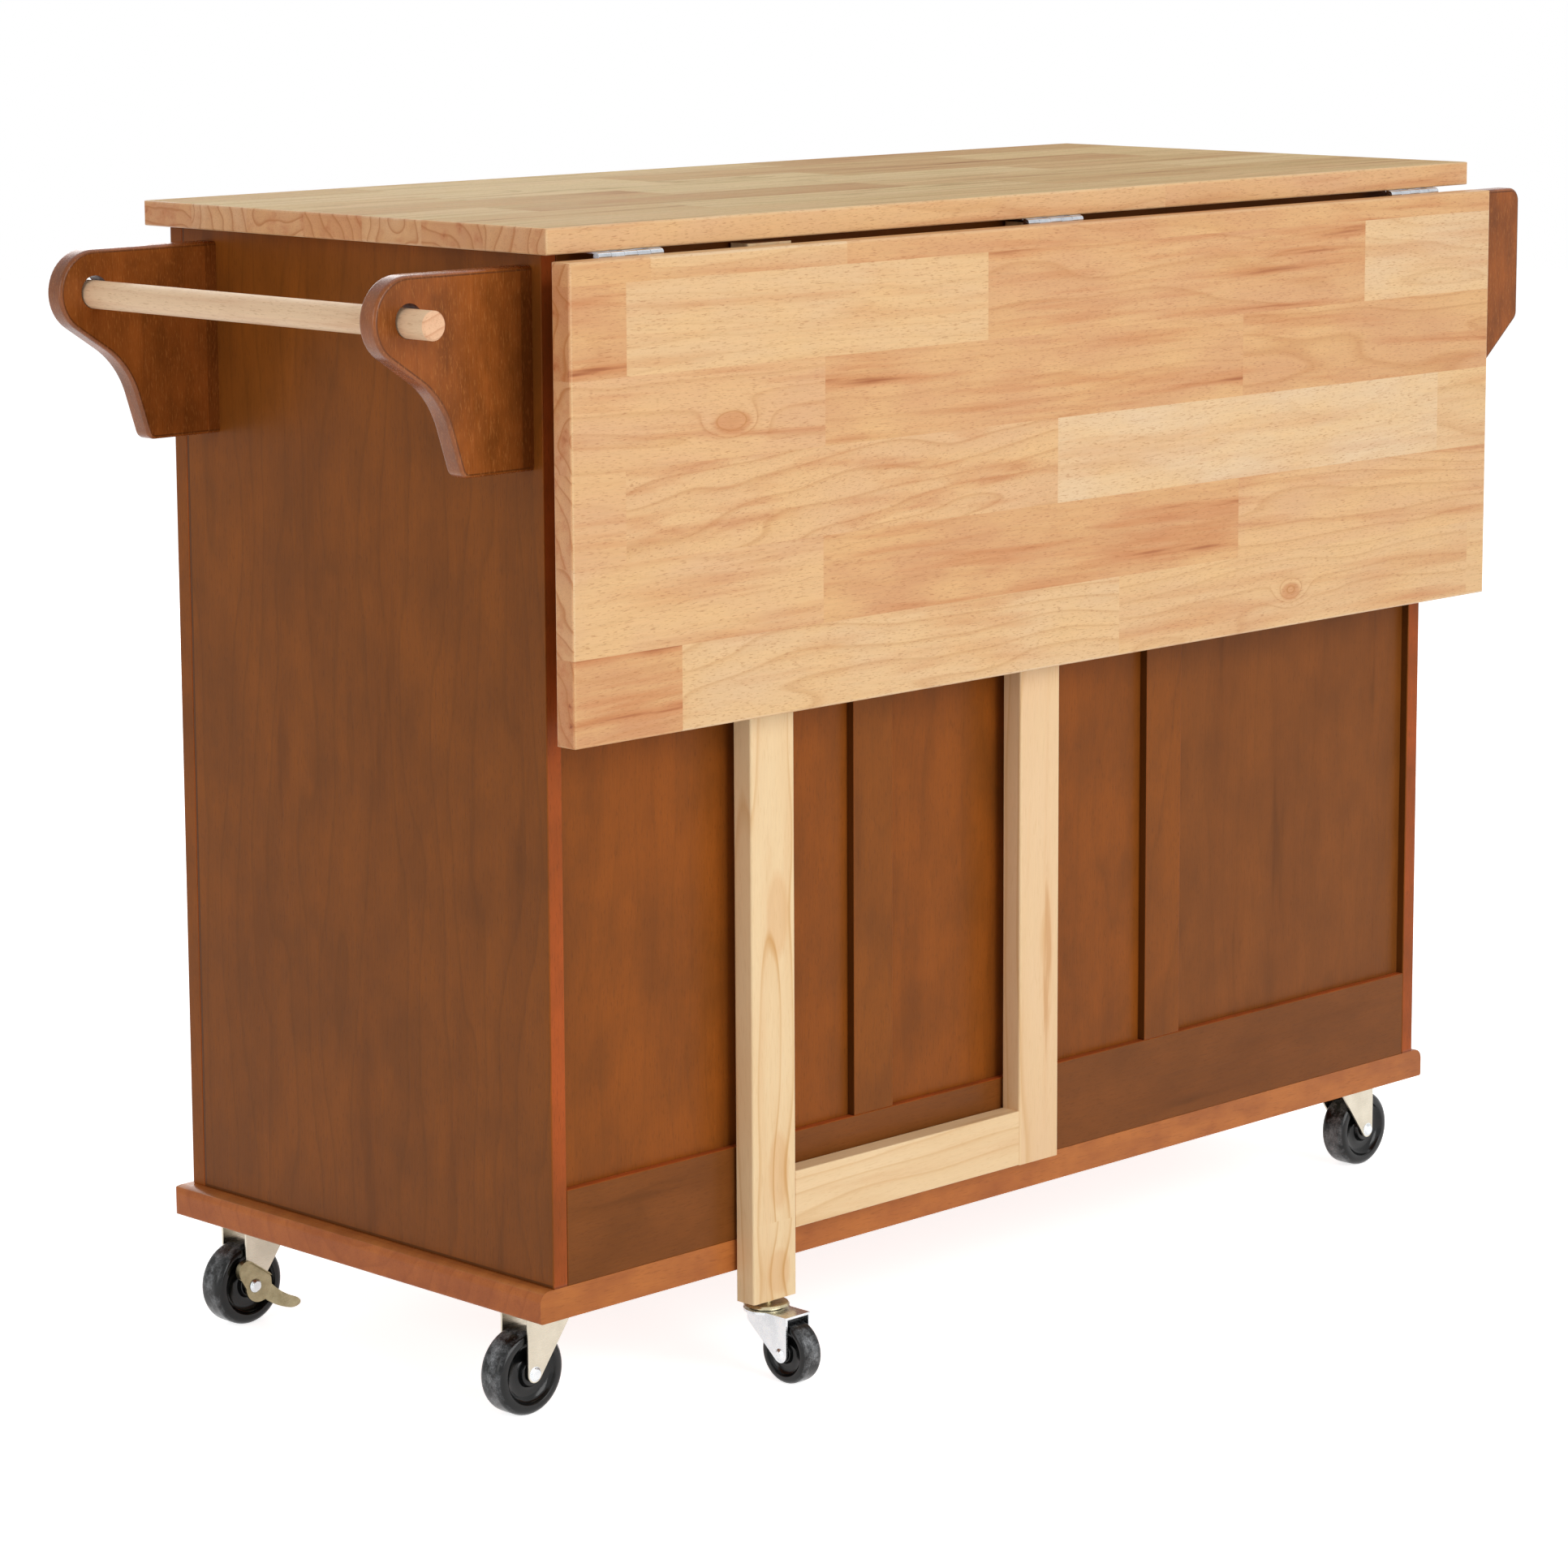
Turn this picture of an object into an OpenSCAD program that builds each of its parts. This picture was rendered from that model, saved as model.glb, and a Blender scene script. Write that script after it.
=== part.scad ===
// Drop leaf kitchen island: a stained cabinet on four casters under a solid wood worktop,
// with a leaf hinged along the back edge, a gate leg on its own caster that carries the
// raised leaf, a towel bar on the right end and a spice rack on the left end.
// +X points to the right end (towel bar), +Y to the back (leaf side), +Z up.
// The origin is on the floor, at the middle of the whole outline.

/* [Cabinet] */
// Length of the cabinet between the outer faces of its side panels
body_l = 1057; // [960:1:1300]
// Depth of the cabinet, face frame included
body_d = 440; // [400:1:560]
// Thickness of the side panels and dividers
panel_t = 15; // [12:1:20]
// Distance of each divider from the middle
divider_x = 178; // [165:1:200]
// Thickness of the back panel
back_t = 5; // [3:1:8]
// Depth of the back panel below the battens and back rails
back_recess = 7.5; // [5:0.5:12]
// Width of the two battens on the back
batten_w = 45; // [30:1:60]
// Height of the two rails on the back
back_rail_h = 75; // [60:1:90]

/* [Worktop and leaf] */
// Height of the worktop's upper face above the floor
total_h = 920; // [860:1:980]
// Thickness of the worktop and of the leaf
top_t = 20; // [18:1:26]
// Overhang of the worktop past each end of the cabinet
end_overhang = 21.5; // [15:0.5:40]
// Overhang of the worktop past the front of the cabinet
front_overhang = 5.5; // [3:0.5:10]
// Overhang of the worktop past the back of the cabinet, which shelters the gate leg
back_overhang = 29.5; // [27:0.5:34]
// Height of the leaf as it hangs, which is its depth when it is raised
leaf_d = 358; // [300:1:400]
// Rounding of the edges of the worktop and leaf
edge_r = 2; // [1:0.5:4]
// Gap between the worktop and the raised leaf
leaf_gap = 2; // [1.5:0.5:3]
// Distance from the worktop's back edge to the inner face of the hanging leaf
leaf_out = 5; // [5:0.5:6]
// Distance from the worktop's underside down to the hanging leaf
leaf_drop = 4; // [4:0.5:5]

/* [Base board] */
// Thickness of the base board
base_t = 25; // [20:1:32]
// Lip of the base board past each end of the cabinet
base_end_lip = 13.5; // [6:0.5:20]
// Lip of the base board past the front of the cabinet
base_front_lip = 12; // [6:0.5:20]
// Rounding of the base board's upper edge at the front and ends
base_r = 9; // [4:0.5:12]

/* [Face frame] */
// Thickness of the face frame
frame_t = 15; // [12:1:20]
// Width of the upright stiles
stile_w = 45; // [35:1:55]
// Height of the top rail
top_rail_h = 40; // [30:1:60]
// Height of the bottom rail
bottom_rail_h = 30; // [20:1:50]
// Height of the rails between the drawers
drawer_rail_h = 20; // [15:1:30]

/* [Doors and drawers] */
// Thickness of the doors and drawer fronts
front_t = 16; // [15:0.5:19]
// Gap round each inset door and drawer front
front_gap = 2; // [2:0.5:4]
// Width of a door's frame round its panel
door_frame_w = 50; // [35:1:65]
// Depth of a door's panel below its frame, on each face
panel_recess = 4.5; // [2:0.5:5]
// Depth of the groove that holds a door's panel
panel_groove = 6; // [4:0.5:10]
// Room behind a closed drawer box
drawer_back_gap = 31.5; // [10:0.5:80]
// Height of a drawer box
drawer_h = 150; // [100:1:165]
// Thickness of the drawer box's walls
drawer_wall = 12; // [9:1:15]
// Thickness of a drawer's bottom
drawer_floor = 6; // [4:1:9]
// Diameter of a knob
knob_d = 30; // [24:1:36]
// Height of a knob off the face
knob_l = 26; // [20:1:32]
// Height of a door's knob above the middle of the door
knob_up = 180; // [-100:5:300]
// Thickness of a shelf
shelf_t = 15; // [12:1:20]
// Distance from a shelf's front edge to the face frame
shelf_setback = 41.5; // [20:0.5:100]
// Height of a shelf's underside above the base board
shelf_z = 372; // [250:1:450]
// Diameter of a shelf pin
shelf_pin_d = 5; // [4:0.5:6]

/* [Casters] */
// Height of a caster, floor to base board
caster_h = 87; // [84:1:100]
// Diameter of a caster wheel
wheel_d = 68; // [60:1:70]
// Width of a caster wheel
wheel_w = 25; // [20:1:28]
// Distance from the swivel axis to the axle
caster_trail = 26; // [22:1:30]
// Distance of the swivel axis in from the edges of the base board
caster_inset = 54; // [45:1:70]
// Diameter of an axle
axle_d = 8; // [6:1:9]

/* [Gate leg] */
// Length of the gate leg's frame
gate_l = 357; // [320:1:380]
// Thickness of its wooden members
gate_t = 20; // [18:0.5:22]
// Width of the caster leg and of the pivot stile
gate_w = 47.5; // [40:0.5:55]
// Height of the gate's top and bottom rails
gate_rail_h = 46; // [35:1:55]
// Distance of the gate's top rail below the top of its uprights
gate_top_rail_drop = 10; // [8:1:30]
// Distance of the pivot edge from the middle, towards the left end
gate_start = 20; // [10:1:40]
// Height of the caster leg's foot above the floor
gate_foot_z = 63; // [61:0.5:66]
// Diameter of the gate's wheel
gate_wheel_d = 50; // [44:1:52]
// Width of the gate's wheel
gate_wheel_w = 20; // [16:1:22]
// Distance from the gate caster's swivel axis to its axle
gate_trail = 28; // [24:1:32]

/* [Racks] */
// Reach of the racks past each end of the cabinet
rack_reach = 152; // [130:1:180]
// Thickness of the rack brackets
rack_t = 18; // [15:1:22]
// Height of a towel bracket
towel_h = 152; // [140:1:170]
// Diameter of the towel bar
bar_d = 22; // [18:1:25]
// Diameter of the holes that the towel bar lies in
bar_hole_d = 26; // [26:0.5:30]
// Length of the towel bar past each bracket
bar_past = 28; // [10:1:40]
// Height of a spice bracket's outer edge
spice_edge_h = 117; // [100:1:130]
// Thickness of the spice shelf
spice_shelf_t = 15; // [12:1:18]
// Height of the rail that holds the jars in
spice_rail_h = 30; // [20:1:40]

/* [Hidden] */
$fn = 48;

// Finishes
worktop_wood = "#d9b184";
pine = "#e8cc9f";
stain = "#74482c";
base_stain = "#a86a40";
zinc = "#b9b7ae";
wheel_black = "#202222";

// Clearances
running_fit = 0.05;   // radial, a pin in a knuckle or an axle in a wheel
side_play = 0.3;      // between a moving piece and its neighbour
clear = 1;            // round loose boards
panel_room = 0.5;     // round a door's panel at the bottom of its groove

// Heights
base_top = caster_h + base_t;
under_top = total_h - top_t;
body_h = under_top - base_top;

// Gate leg, which lies flat against the back of the cabinet
gate_back_gap = 2.4;
gate_top_gap = 3.5;
gate_rail_drop = 4.5;      // pivot stile and bottom rail above the base board's upper face
gate_mid = gate_back_gap + gate_t / 2;

// Places along Y: the outline's middle is the origin
back_reach = max(leaf_out + top_t, gate_mid - back_overhang + gate_trail + gate_wheel_d / 2);
front_reach = back_overhang + body_d + max(knob_l, base_front_lip);
top_back = (front_reach - back_reach) / 2;
body_back = top_back - back_overhang;
body_front = body_back - body_d;
top_front = body_front - front_overhang;
base_front = body_front - base_front_lip;
panel_back = body_back - back_recess;
inner_back = panel_back - back_t;
frame_back = body_front + frame_t;
gate_y = body_back + gate_mid;

// Lengths
top_l = body_l + 2 * end_overhang;
top_d = top_back - top_front;
base_l = body_l + 2 * base_end_lip;
base_d = body_back - base_front;
side_x = body_l / 2;
inner_x = side_x - panel_t;
bay_in = divider_x + stile_w / 2;       // inner edge of a door opening
bay_out = side_x - stile_w;             // outer edge of a door opening
drawer_open_w = 2 * (divider_x - stile_w / 2);
opening_z = base_top + bottom_rail_h;
opening_top = under_top - top_rail_h;
drawer_open_h = (opening_top - opening_z - 2 * drawer_rail_h) / 3;
drawer_pitch = drawer_open_h + drawer_rail_h;
shelf_front = frame_back + shelf_setback;
shelf_back = inner_back - clear;
shelf_pin_in = 35;         // shelf pins in from a shelf's front and back
shelf_pin_l = 16;

// Leaf hinges: the pin lies where the leaf hangs clear and rises flush
leaf_pin_y = top_back + (leaf_gap + leaf_out - leaf_drop) / 2;
leaf_pin_z = under_top - leaf_out + leaf_pin_y - top_back;
leaf_in = top_back + leaf_out;
leaf_top = under_top - leaf_drop;
leaf_hinge_l = 66;
leaf_hinge_end = 81;       // middle of an end hinge, in from the worktop's end
leaf_hinge_x = [-top_l / 2 + leaf_hinge_end, 0, top_l / 2 - leaf_hinge_end];
leaf_knuckle_r = 3.2;
leaf_pin_r = 1.5;
leaf_hinge_t = 1.4;
leaf_hinge_w = 26;

// Door hinges, with the knuckle just proud of the face frame
door_hinge_l = 50;
door_hinge_in = 80;        // middle of a hinge, in from the door's end
door_knuckle_r = 3;
door_pin_r = 1.3;
door_plate_t = 0.8;
door_plate_w = 13;
door_z0 = opening_z + front_gap;
door_z1 = opening_top - front_gap;
door_x0 = bay_in + front_gap;
door_x1 = bay_out - front_gap;
door_pin_x = bay_out - front_gap / 2;
door_pin_y = body_front - door_knuckle_r - side_play;

// Gate hinges, between the pivot stile and the back rails
gate_hinge_l = 50;
gate_knuckle_r = 2.4;
gate_pin_r = 1.2;
gate_plate_t = 1;
gate_plate_w = 24;
gate_x0 = -gate_start;
gate_x1 = gate_x0 + gate_l;
gate_pin_x = gate_x0 - gate_knuckle_r - 0.4;
gate_pin_y = body_back + gate_knuckle_r + 0.2;
gate_top = under_top - gate_top_gap;
gate_rail_z = base_top + gate_rail_drop;
gate_hinge_z = [base_top + back_rail_h / 2, under_top - back_rail_h / 2];
gate_caster_x = gate_x1 - gate_w / 2;

// Casters
caster_x = base_l / 2 - caster_inset;
caster_back_y = body_back - caster_inset;
caster_front_y = base_front + caster_inset;
sheet_t = 2;               // steel of the forks and levers
wheel_side = 1.5;          // from a wheel's hub to a fork leg
lever_t = 2;
plate_t = 2.5;
race_h = 4;
race_r = 22;
fork_top = caster_h - plate_t - race_h - side_play;
king_r = 5;
gate_race_h = 2.2;
gate_fork_top = gate_foot_z - 7.5;
gate_disc_r = 18.5;
gate_stem_r = 4.5;
gate_stem_in = 30;         // length of the stem inside the leg

// Racks
rack_top = under_top - 10.5;
rack_back_y = body_back - 10;                 // back face of the back brackets
rack_front_y = body_front + 40 + rack_t;      // back face of the front brackets
nose_r = 33;
nose_slope = 33;
nose_run = 33;
waist_r = 70;
waist_slope = 72;
foot_r = 8;
bar_x = side_x + rack_reach - nose_r;
bar_hole_z = rack_top - nose_r;
bar_z = bar_hole_z - (bar_hole_d - bar_d) / 2 + side_play;
spice_slope = 40;
spice_foot = 20;
spice_h = spice_edge_h + (rack_reach - spice_foot) * tan(spice_slope);
spice_floor_z = rack_top - spice_edge_h + 6;
spice_rail_t = 12;

// ---- Shared shapes ----

// Waste outside a rounded corner at the origin
module corner_cut(r) {
    if (r > 0)
        difference() {
            translate([-1, -1]) square(r + 1);
            translate([r, r]) circle(r = r);
        }
}

// Rectangle with its own radius at each corner, from the lower left and round
module soft_rect(w, h, r) {
    difference() {
        square([w, h]);
        corner_cut(r[0]);
        translate([w, 0]) mirror([1, 0]) corner_cut(r[1]);
        translate([w, h]) rotate(180) corner_cut(r[2]);
        translate([0, h]) mirror([0, 1]) corner_cut(r[3]);
    }
}

// Profile in YZ drawn along +X
module along_x(l) {
    rotate([90, 0, 90]) linear_extrude(l) children();
}

// Profile in XZ drawn along -Y from the plane y
module along_y(y, l) {
    translate([0, y, 0]) rotate([90, 0, 0]) linear_extrude(l) children();
}

// Board with all its edges eased, from its lowest corner
module eased_board(size, r) {
    rr = [r, r, r, r];
    intersection() {
        along_x(size[0]) soft_rect(size[1], size[2], rr);
        along_y(size[1], size[1]) soft_rect(size[0], size[2], rr);
        linear_extrude(size[2]) soft_rect(size[0], size[1], rr);
    }
}

// Knuckles of one hinge leaf: every second one of count, along Z about the origin
module knuckles(l, count, first, r, bore_r) {
    pitch = l / count;
    for (i = [first : 2 : count - 1])
        translate([0, 0, -l / 2 + i * pitch + side_play / 2])
            difference() {
                cylinder(r = r, h = pitch - side_play);
                if (bore_r > 0)
                    translate([0, 0, -1]) cylinder(r = bore_r, h = pitch + 2);
            }
}

// Turned knob standing on the XY plane
module knob() {
    rotate_extrude() {
        square([knob_d * 0.28, 2.5]);
        square([knob_d * 0.2, knob_l - 8]);
        translate([0, knob_l - 11]) soft_rect(knob_d / 2, 11, [0, 4, 6, 0]);
    }
}

// ---- Cabinet ----

module worktop() {
    color(worktop_wood)
        translate([-top_l / 2, top_front, under_top]) eased_board([top_l, top_d, top_t], edge_r);
}

module base_board() {
    low_r = 2;
    color(base_stain)
        translate([-base_l / 2, base_front, caster_h])
            intersection() {
                along_x(base_l) soft_rect(base_d, base_t, [low_r, 0, 0, base_r]);
                along_y(base_d, base_d) soft_rect(base_l, base_t, [low_r, low_r, base_r, base_r]);
                linear_extrude(base_t) soft_rect(base_l, base_d, [base_r, base_r, 0, 0]);
            }
}

// Blind holes for the shelf pins, in the panel face at x, drilled towards dir
module shelf_pin_row(x, dir) {
    for (y = [shelf_front + shelf_pin_in, shelf_back - shelf_pin_in])
        translate([x, y, base_top + shelf_z - shelf_pin_d / 2])
            rotate([0, 90 * dir, 0]) cylinder(d = shelf_pin_d, h = shelf_pin_l / 2);
}

module side_panel() {
    color(stain)
        difference() {
            translate([inner_x, frame_back, base_top])
                cube([panel_t, body_back - frame_back, body_h]);
            shelf_pin_row(inner_x, 1);
        }
}

module right_side_panel() {
    side_panel();
}

module left_side_panel() {
    mirror([1, 0, 0]) side_panel();
}

module dividers() {
    color(stain)
        for (s = [0, 1])
            mirror([s, 0, 0])
                difference() {
                    translate([divider_x - panel_t / 2, frame_back, base_top])
                        cube([panel_t, inner_back - frame_back, body_h]);
                    shelf_pin_row(divider_x + panel_t / 2, -1);
                }
}

module back_panel() {
    color(stain)
        translate([-inner_x, inner_back, base_top]) cube([2 * inner_x, back_t, body_h]);
}

module back_battens() {
    color(stain)
        for (s = [-1, 1])
            translate([s * divider_x - batten_w / 2, panel_back, base_top + back_rail_h])
                cube([batten_w, back_recess, body_h - 2 * back_rail_h]);
}

module back_rails() {
    color(stain)
        for (z = [base_top, under_top - back_rail_h])
            translate([-inner_x, panel_back, z]) cube([2 * inner_x, back_recess, back_rail_h]);
}

module face_stiles() {
    color(stain)
        for (x = [-side_x, -bay_in, bay_in - stile_w, bay_out])
            translate([x, body_front, base_top]) cube([stile_w, frame_t, body_h]);
}

module face_rails() {
    color(stain) {
        for (s = [-1, 1], r = [[base_top, bottom_rail_h], [opening_top, top_rail_h]])
            translate([s * (bay_in + bay_out) / 2 - (bay_out - bay_in) / 2, body_front, r[0]])
                cube([bay_out - bay_in, frame_t, r[1]]);
        for (r = [
            [base_top, bottom_rail_h],
            [opening_z + drawer_open_h, drawer_rail_h],
            [opening_z + drawer_pitch + drawer_open_h, drawer_rail_h],
            [opening_top, top_rail_h]
        ])
            translate([-drawer_open_w / 2, body_front, r[0]])
                cube([drawer_open_w, frame_t, r[1]]);
    }
}

module shelves() {
    bay_x = divider_x + panel_t / 2;
    color(stain)
        for (s = [0, 1])
            mirror([s, 0, 0])
                translate([bay_x + clear, shelf_front, base_top + shelf_z])
                    cube([inner_x - bay_x - 2 * clear, shelf_back - shelf_front, shelf_t]);
}

module shelf_pins() {
    color(zinc)
        for (s = [0, 1])
            mirror([s, 0, 0]) {
                shelf_pin_row(inner_x, 1);
                shelf_pin_row(inner_x, -1);
                shelf_pin_row(divider_x + panel_t / 2, 1);
                shelf_pin_row(divider_x + panel_t / 2, -1);
            }
}

// ---- Racks ----

// Towel bracket: a round nose at the top, a straight run, a hollow waist and a narrow foot.
// The wall is at u = 0 and the foot at v = 0.
module towel_profile() {
    nose = [rack_reach - nose_r, towel_h - nose_r];
    run_dir = [-cos(nose_slope), -sin(nose_slope)];
    nose_end = nose + nose_r * [sin(nose_slope), -cos(nose_slope)];
    waist_start = nose_end + nose_run * run_dir;
    waist = waist_start + waist_r * [sin(nose_slope), -cos(nose_slope)];
    waist_end = waist + waist_r * [-sin(waist_slope), cos(waist_slope)];
    foot_w = waist_end[0] - waist_end[1] / tan(waist_slope);
    foot = [foot_w - foot_r * (1 - cos(waist_slope)) / sin(waist_slope), foot_r];
    foot_end = foot + foot_r * [sin(waist_slope), -cos(waist_slope)];
    difference() {
        union() {
            polygon([
                [0, 0], [foot[0], 0], foot, foot_end, waist_end, waist_start, nose_end,
                nose, [nose[0], towel_h], [0, towel_h]
            ]);
            translate(nose) circle(r = nose_r);
            translate(foot) circle(r = foot_r);
        }
        translate(waist) circle(r = waist_r, $fn = 96);
        translate([bar_x - side_x, towel_h - (rack_top - bar_hole_z)])
            circle(d = bar_hole_d);
    }
}

module towel_brackets() {
    color(stain)
        for (y = [rack_back_y, rack_front_y])
            translate([side_x, 0, rack_top - towel_h]) along_y(y, rack_t) towel_profile();
}

module towel_bar() {
    bevel = 1.5;
    l = rack_back_y - rack_front_y + rack_t + 2 * bar_past;
    color(pine)
        translate([bar_x, rack_back_y + bar_past, bar_z])
            rotate([90, 0, 0])
                rotate_extrude()
                    polygon([
                        [0, 0], [bar_d / 2 - bevel, 0], [bar_d / 2, bevel],
                        [bar_d / 2, l - bevel], [bar_d / 2 - bevel, l], [0, l]
                    ]);
}

// Spice bracket: a straight outer edge over a slanting lower edge that ends in a short foot
module spice_profile() {
    top_r = 12;
    low_r = 10;
    low_z = spice_h - spice_edge_h;
    bend = low_r * tan((90 - spice_slope) / 2);
    difference() {
        polygon([[0, 0], [spice_foot, 0], [rack_reach, low_z], [rack_reach, spice_h], [0, spice_h]]);
        translate([rack_reach, spice_h]) rotate(180) corner_cut(top_r);
        difference() {
            polygon([
                [rack_reach - bend * cos(spice_slope), low_z - bend * sin(spice_slope)],
                [rack_reach + 1, low_z - bend],
                [rack_reach + 1, low_z + bend],
                [rack_reach, low_z + bend],
                [rack_reach - low_r, low_z + bend]
            ]);
            translate([rack_reach - low_r, low_z + bend]) circle(r = low_r);
        }
    }
}

module spice_brackets() {
    color(stain)
        for (y = [rack_back_y, rack_front_y])
            translate([-side_x, 0, rack_top - spice_h])
                mirror([1, 0, 0]) along_y(y, rack_t) spice_profile();
}

module spice_shelf() {
    shelf_w = rack_reach - 8;
    color(stain)
        translate([-side_x - shelf_w, rack_front_y, spice_floor_z])
            cube([shelf_w, rack_back_y - rack_t - rack_front_y, spice_shelf_t]);
}

module spice_rail() {
    color(stain)
        translate([-side_x - rack_reach + 8, rack_front_y, spice_floor_z + spice_shelf_t + 30])
            eased_board([spice_rail_t, rack_back_y - rack_t - rack_front_y, spice_rail_h], 2);
}

// ---- Leaf and its hinges ----

module drop_leaf() {
    color(worktop_wood)
        translate([-top_l / 2, leaf_in, leaf_top - leaf_d]) eased_board([top_l, top_t, leaf_d], edge_r);
}

// Draws one hinge at each place along the worktop's edge, with the pin along X at the origin
module at_leaf_hinges() {
    for (x = leaf_hinge_x)
        translate([x, leaf_pin_y, leaf_pin_z]) children();
}

module leaf_hinge_fixed_leaves() {
    plate_z = under_top - leaf_pin_z - leaf_hinge_t;
    color(zinc)
        at_leaf_hinges()
            difference() {
                union() {
                    rotate([0, 90, 0]) knuckles(leaf_hinge_l, 5, 0, leaf_knuckle_r, 0);
                    translate([-leaf_hinge_l / 2, -leaf_hinge_w, plate_z])
                        cube([leaf_hinge_l, leaf_hinge_w - leaf_knuckle_r - side_play, leaf_hinge_t]);
                    for (i = [0, 2, 4])
                        translate([
                            -leaf_hinge_l / 2 + i * leaf_hinge_l / 5 + side_play / 2,
                            -leaf_knuckle_r - 1, plate_z
                        ])
                            cube([leaf_hinge_l / 5 - side_play, leaf_knuckle_r + 1, leaf_hinge_t]);
                }
                rotate([0, 90, 0])
                    translate([0, 0, -leaf_hinge_l]) cylinder(r = leaf_pin_r, h = 2 * leaf_hinge_l);
            }
}

module leaf_hinge_moving_leaves() {
    plate_y = leaf_in - leaf_pin_y - leaf_hinge_t;
    color(zinc)
        at_leaf_hinges()
            difference() {
                union() {
                    rotate([0, 90, 0]) knuckles(leaf_hinge_l, 5, 1, leaf_knuckle_r, 0);
                    translate([-leaf_hinge_l / 2, plate_y, -leaf_hinge_w])
                        cube([leaf_hinge_l, leaf_hinge_t, leaf_hinge_w - leaf_knuckle_r - side_play]);
                    for (i = [1, 3])
                        translate([
                            -leaf_hinge_l / 2 + i * leaf_hinge_l / 5 + side_play / 2,
                            plate_y, -leaf_knuckle_r - 1
                        ])
                            cube([leaf_hinge_l / 5 - side_play, leaf_hinge_t, leaf_knuckle_r + 1]);
                }
                rotate([0, 90, 0])
                    translate([0, 0, -leaf_hinge_l])
                        cylinder(r = leaf_pin_r + running_fit, h = 2 * leaf_hinge_l);
            }
}

module leaf_hinge_pins() {
    color(zinc)
        at_leaf_hinges()
            rotate([0, 90, 0])
                translate([0, 0, -leaf_hinge_l / 2]) cylinder(r = leaf_pin_r, h = leaf_hinge_l);
}

// ---- Gate leg ----

// Upright member between two heights, its outer edge at x
module gate_upright(x, z0) {
    translate([x, gate_y - gate_t / 2, z0])
        linear_extrude(gate_top - z0) soft_rect(gate_w, gate_t, [2, 2, 2, 2]);
}

module gate_caster_leg() {
    color(pine)
        difference() {
            gate_upright(gate_x1 - gate_w, gate_foot_z);
            translate([gate_caster_x, gate_y, gate_foot_z - 1])
                cylinder(r = gate_stem_r, h = gate_stem_in + 1);
        }
}

module gate_pivot_stile() {
    color(pine) gate_upright(gate_x0, gate_rail_z);
}

module gate_rails() {
    rail_t = gate_t - 1.4;
    color(pine)
        for (z = [gate_rail_z, gate_top - gate_top_rail_drop - gate_rail_h])
            translate([gate_x0 + gate_w, gate_y - rail_t / 2, z])
                along_x(gate_l - 2 * gate_w) soft_rect(rail_t, gate_rail_h, [1, 1, 1, 1]);
}

module gate_hinge_fixed_leaves() {
    color(zinc)
        for (z = gate_hinge_z)
            translate([gate_pin_x, gate_pin_y, z]) {
                knuckles(gate_hinge_l, 3, 0, gate_knuckle_r, 0);
                translate([0, 0, -gate_hinge_l / 2]) cylinder(r = gate_pin_r, h = gate_hinge_l);
                translate([gate_knuckle_r + side_play, body_back - gate_pin_y, -gate_hinge_l / 2])
                    cube([gate_plate_w, gate_plate_t, gate_hinge_l]);
                for (i = [0, 2])
                    translate([
                        0, body_back - gate_pin_y + 0.2,
                        -gate_hinge_l / 2 + i * gate_hinge_l / 3 + side_play / 2
                    ])
                        cube([gate_knuckle_r + 1, gate_plate_t - 0.2, gate_hinge_l / 3 - side_play]);
            }
}

module gate_hinge_moving_leaves() {
    plate_y = gate_y - gate_t / 2 - gate_plate_t - gate_pin_y;
    color(zinc)
        for (z = gate_hinge_z)
            translate([gate_pin_x, gate_pin_y, z]) {
                knuckles(gate_hinge_l, 3, 1, gate_knuckle_r, gate_pin_r + running_fit);
                translate([gate_knuckle_r + side_play, plate_y, -gate_hinge_l / 2])
                    cube([gate_plate_w, gate_plate_t, gate_hinge_l]);
                difference() {
                    translate([0, plate_y, -gate_hinge_l / 6 + side_play / 2])
                        cube([gate_knuckle_r + 1, gate_plate_t, gate_hinge_l / 3 - side_play]);
                    translate([0, 0, -gate_hinge_l / 2])
                        cylinder(r = gate_pin_r + running_fit, h = gate_hinge_l);
                }
            }
}

// Threaded stem with its cover disc, ball race and riveted kingpin
module gate_caster_stem() {
    color(zinc)
        translate([gate_caster_x, gate_y, 0]) {
            translate([0, 0, gate_fork_top - sheet_t - side_play])
                cylinder(r = gate_stem_r, h = gate_foot_z + gate_stem_in - gate_fork_top + sheet_t + side_play);
            translate([0, 0, gate_fork_top + side_play]) cylinder(r = gate_disc_r - 4, h = gate_race_h);
            translate([0, 0, gate_fork_top + side_play + gate_race_h - 0.2])
                cylinder(r1 = gate_disc_r, r2 = gate_disc_r - 1.5, h = 2);
            translate([0, 0, gate_fork_top - sheet_t - side_play - 2])
                cylinder(r1 = gate_stem_r + 1.5, r2 = gate_stem_r + 2.5, h = 2);
        }
}

// ---- Casters ----

function tangent_angle(p, c, r) =
    atan2(p[1] - c[1], p[0] - c[0]) + acos(r / norm(p - c));

// Side of a fork in the plane of the wheel: swivel axis at u = 0, axle at the trail
module fork_leg_profile(trail, axle_z, top_z, back, tip_r) {
    heel = [-back, top_z - 9];
    axle = [trail, axle_z];
    a = tangent_angle(heel, axle, tip_r);
    polygon([
        [trail + tip_r, axle_z], [trail + tip_r, top_z], [-back, top_z], heel,
        axle + tip_r * [cos(a), sin(a)]
    ]);
    translate(axle) circle(r = tip_r);
}

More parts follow.
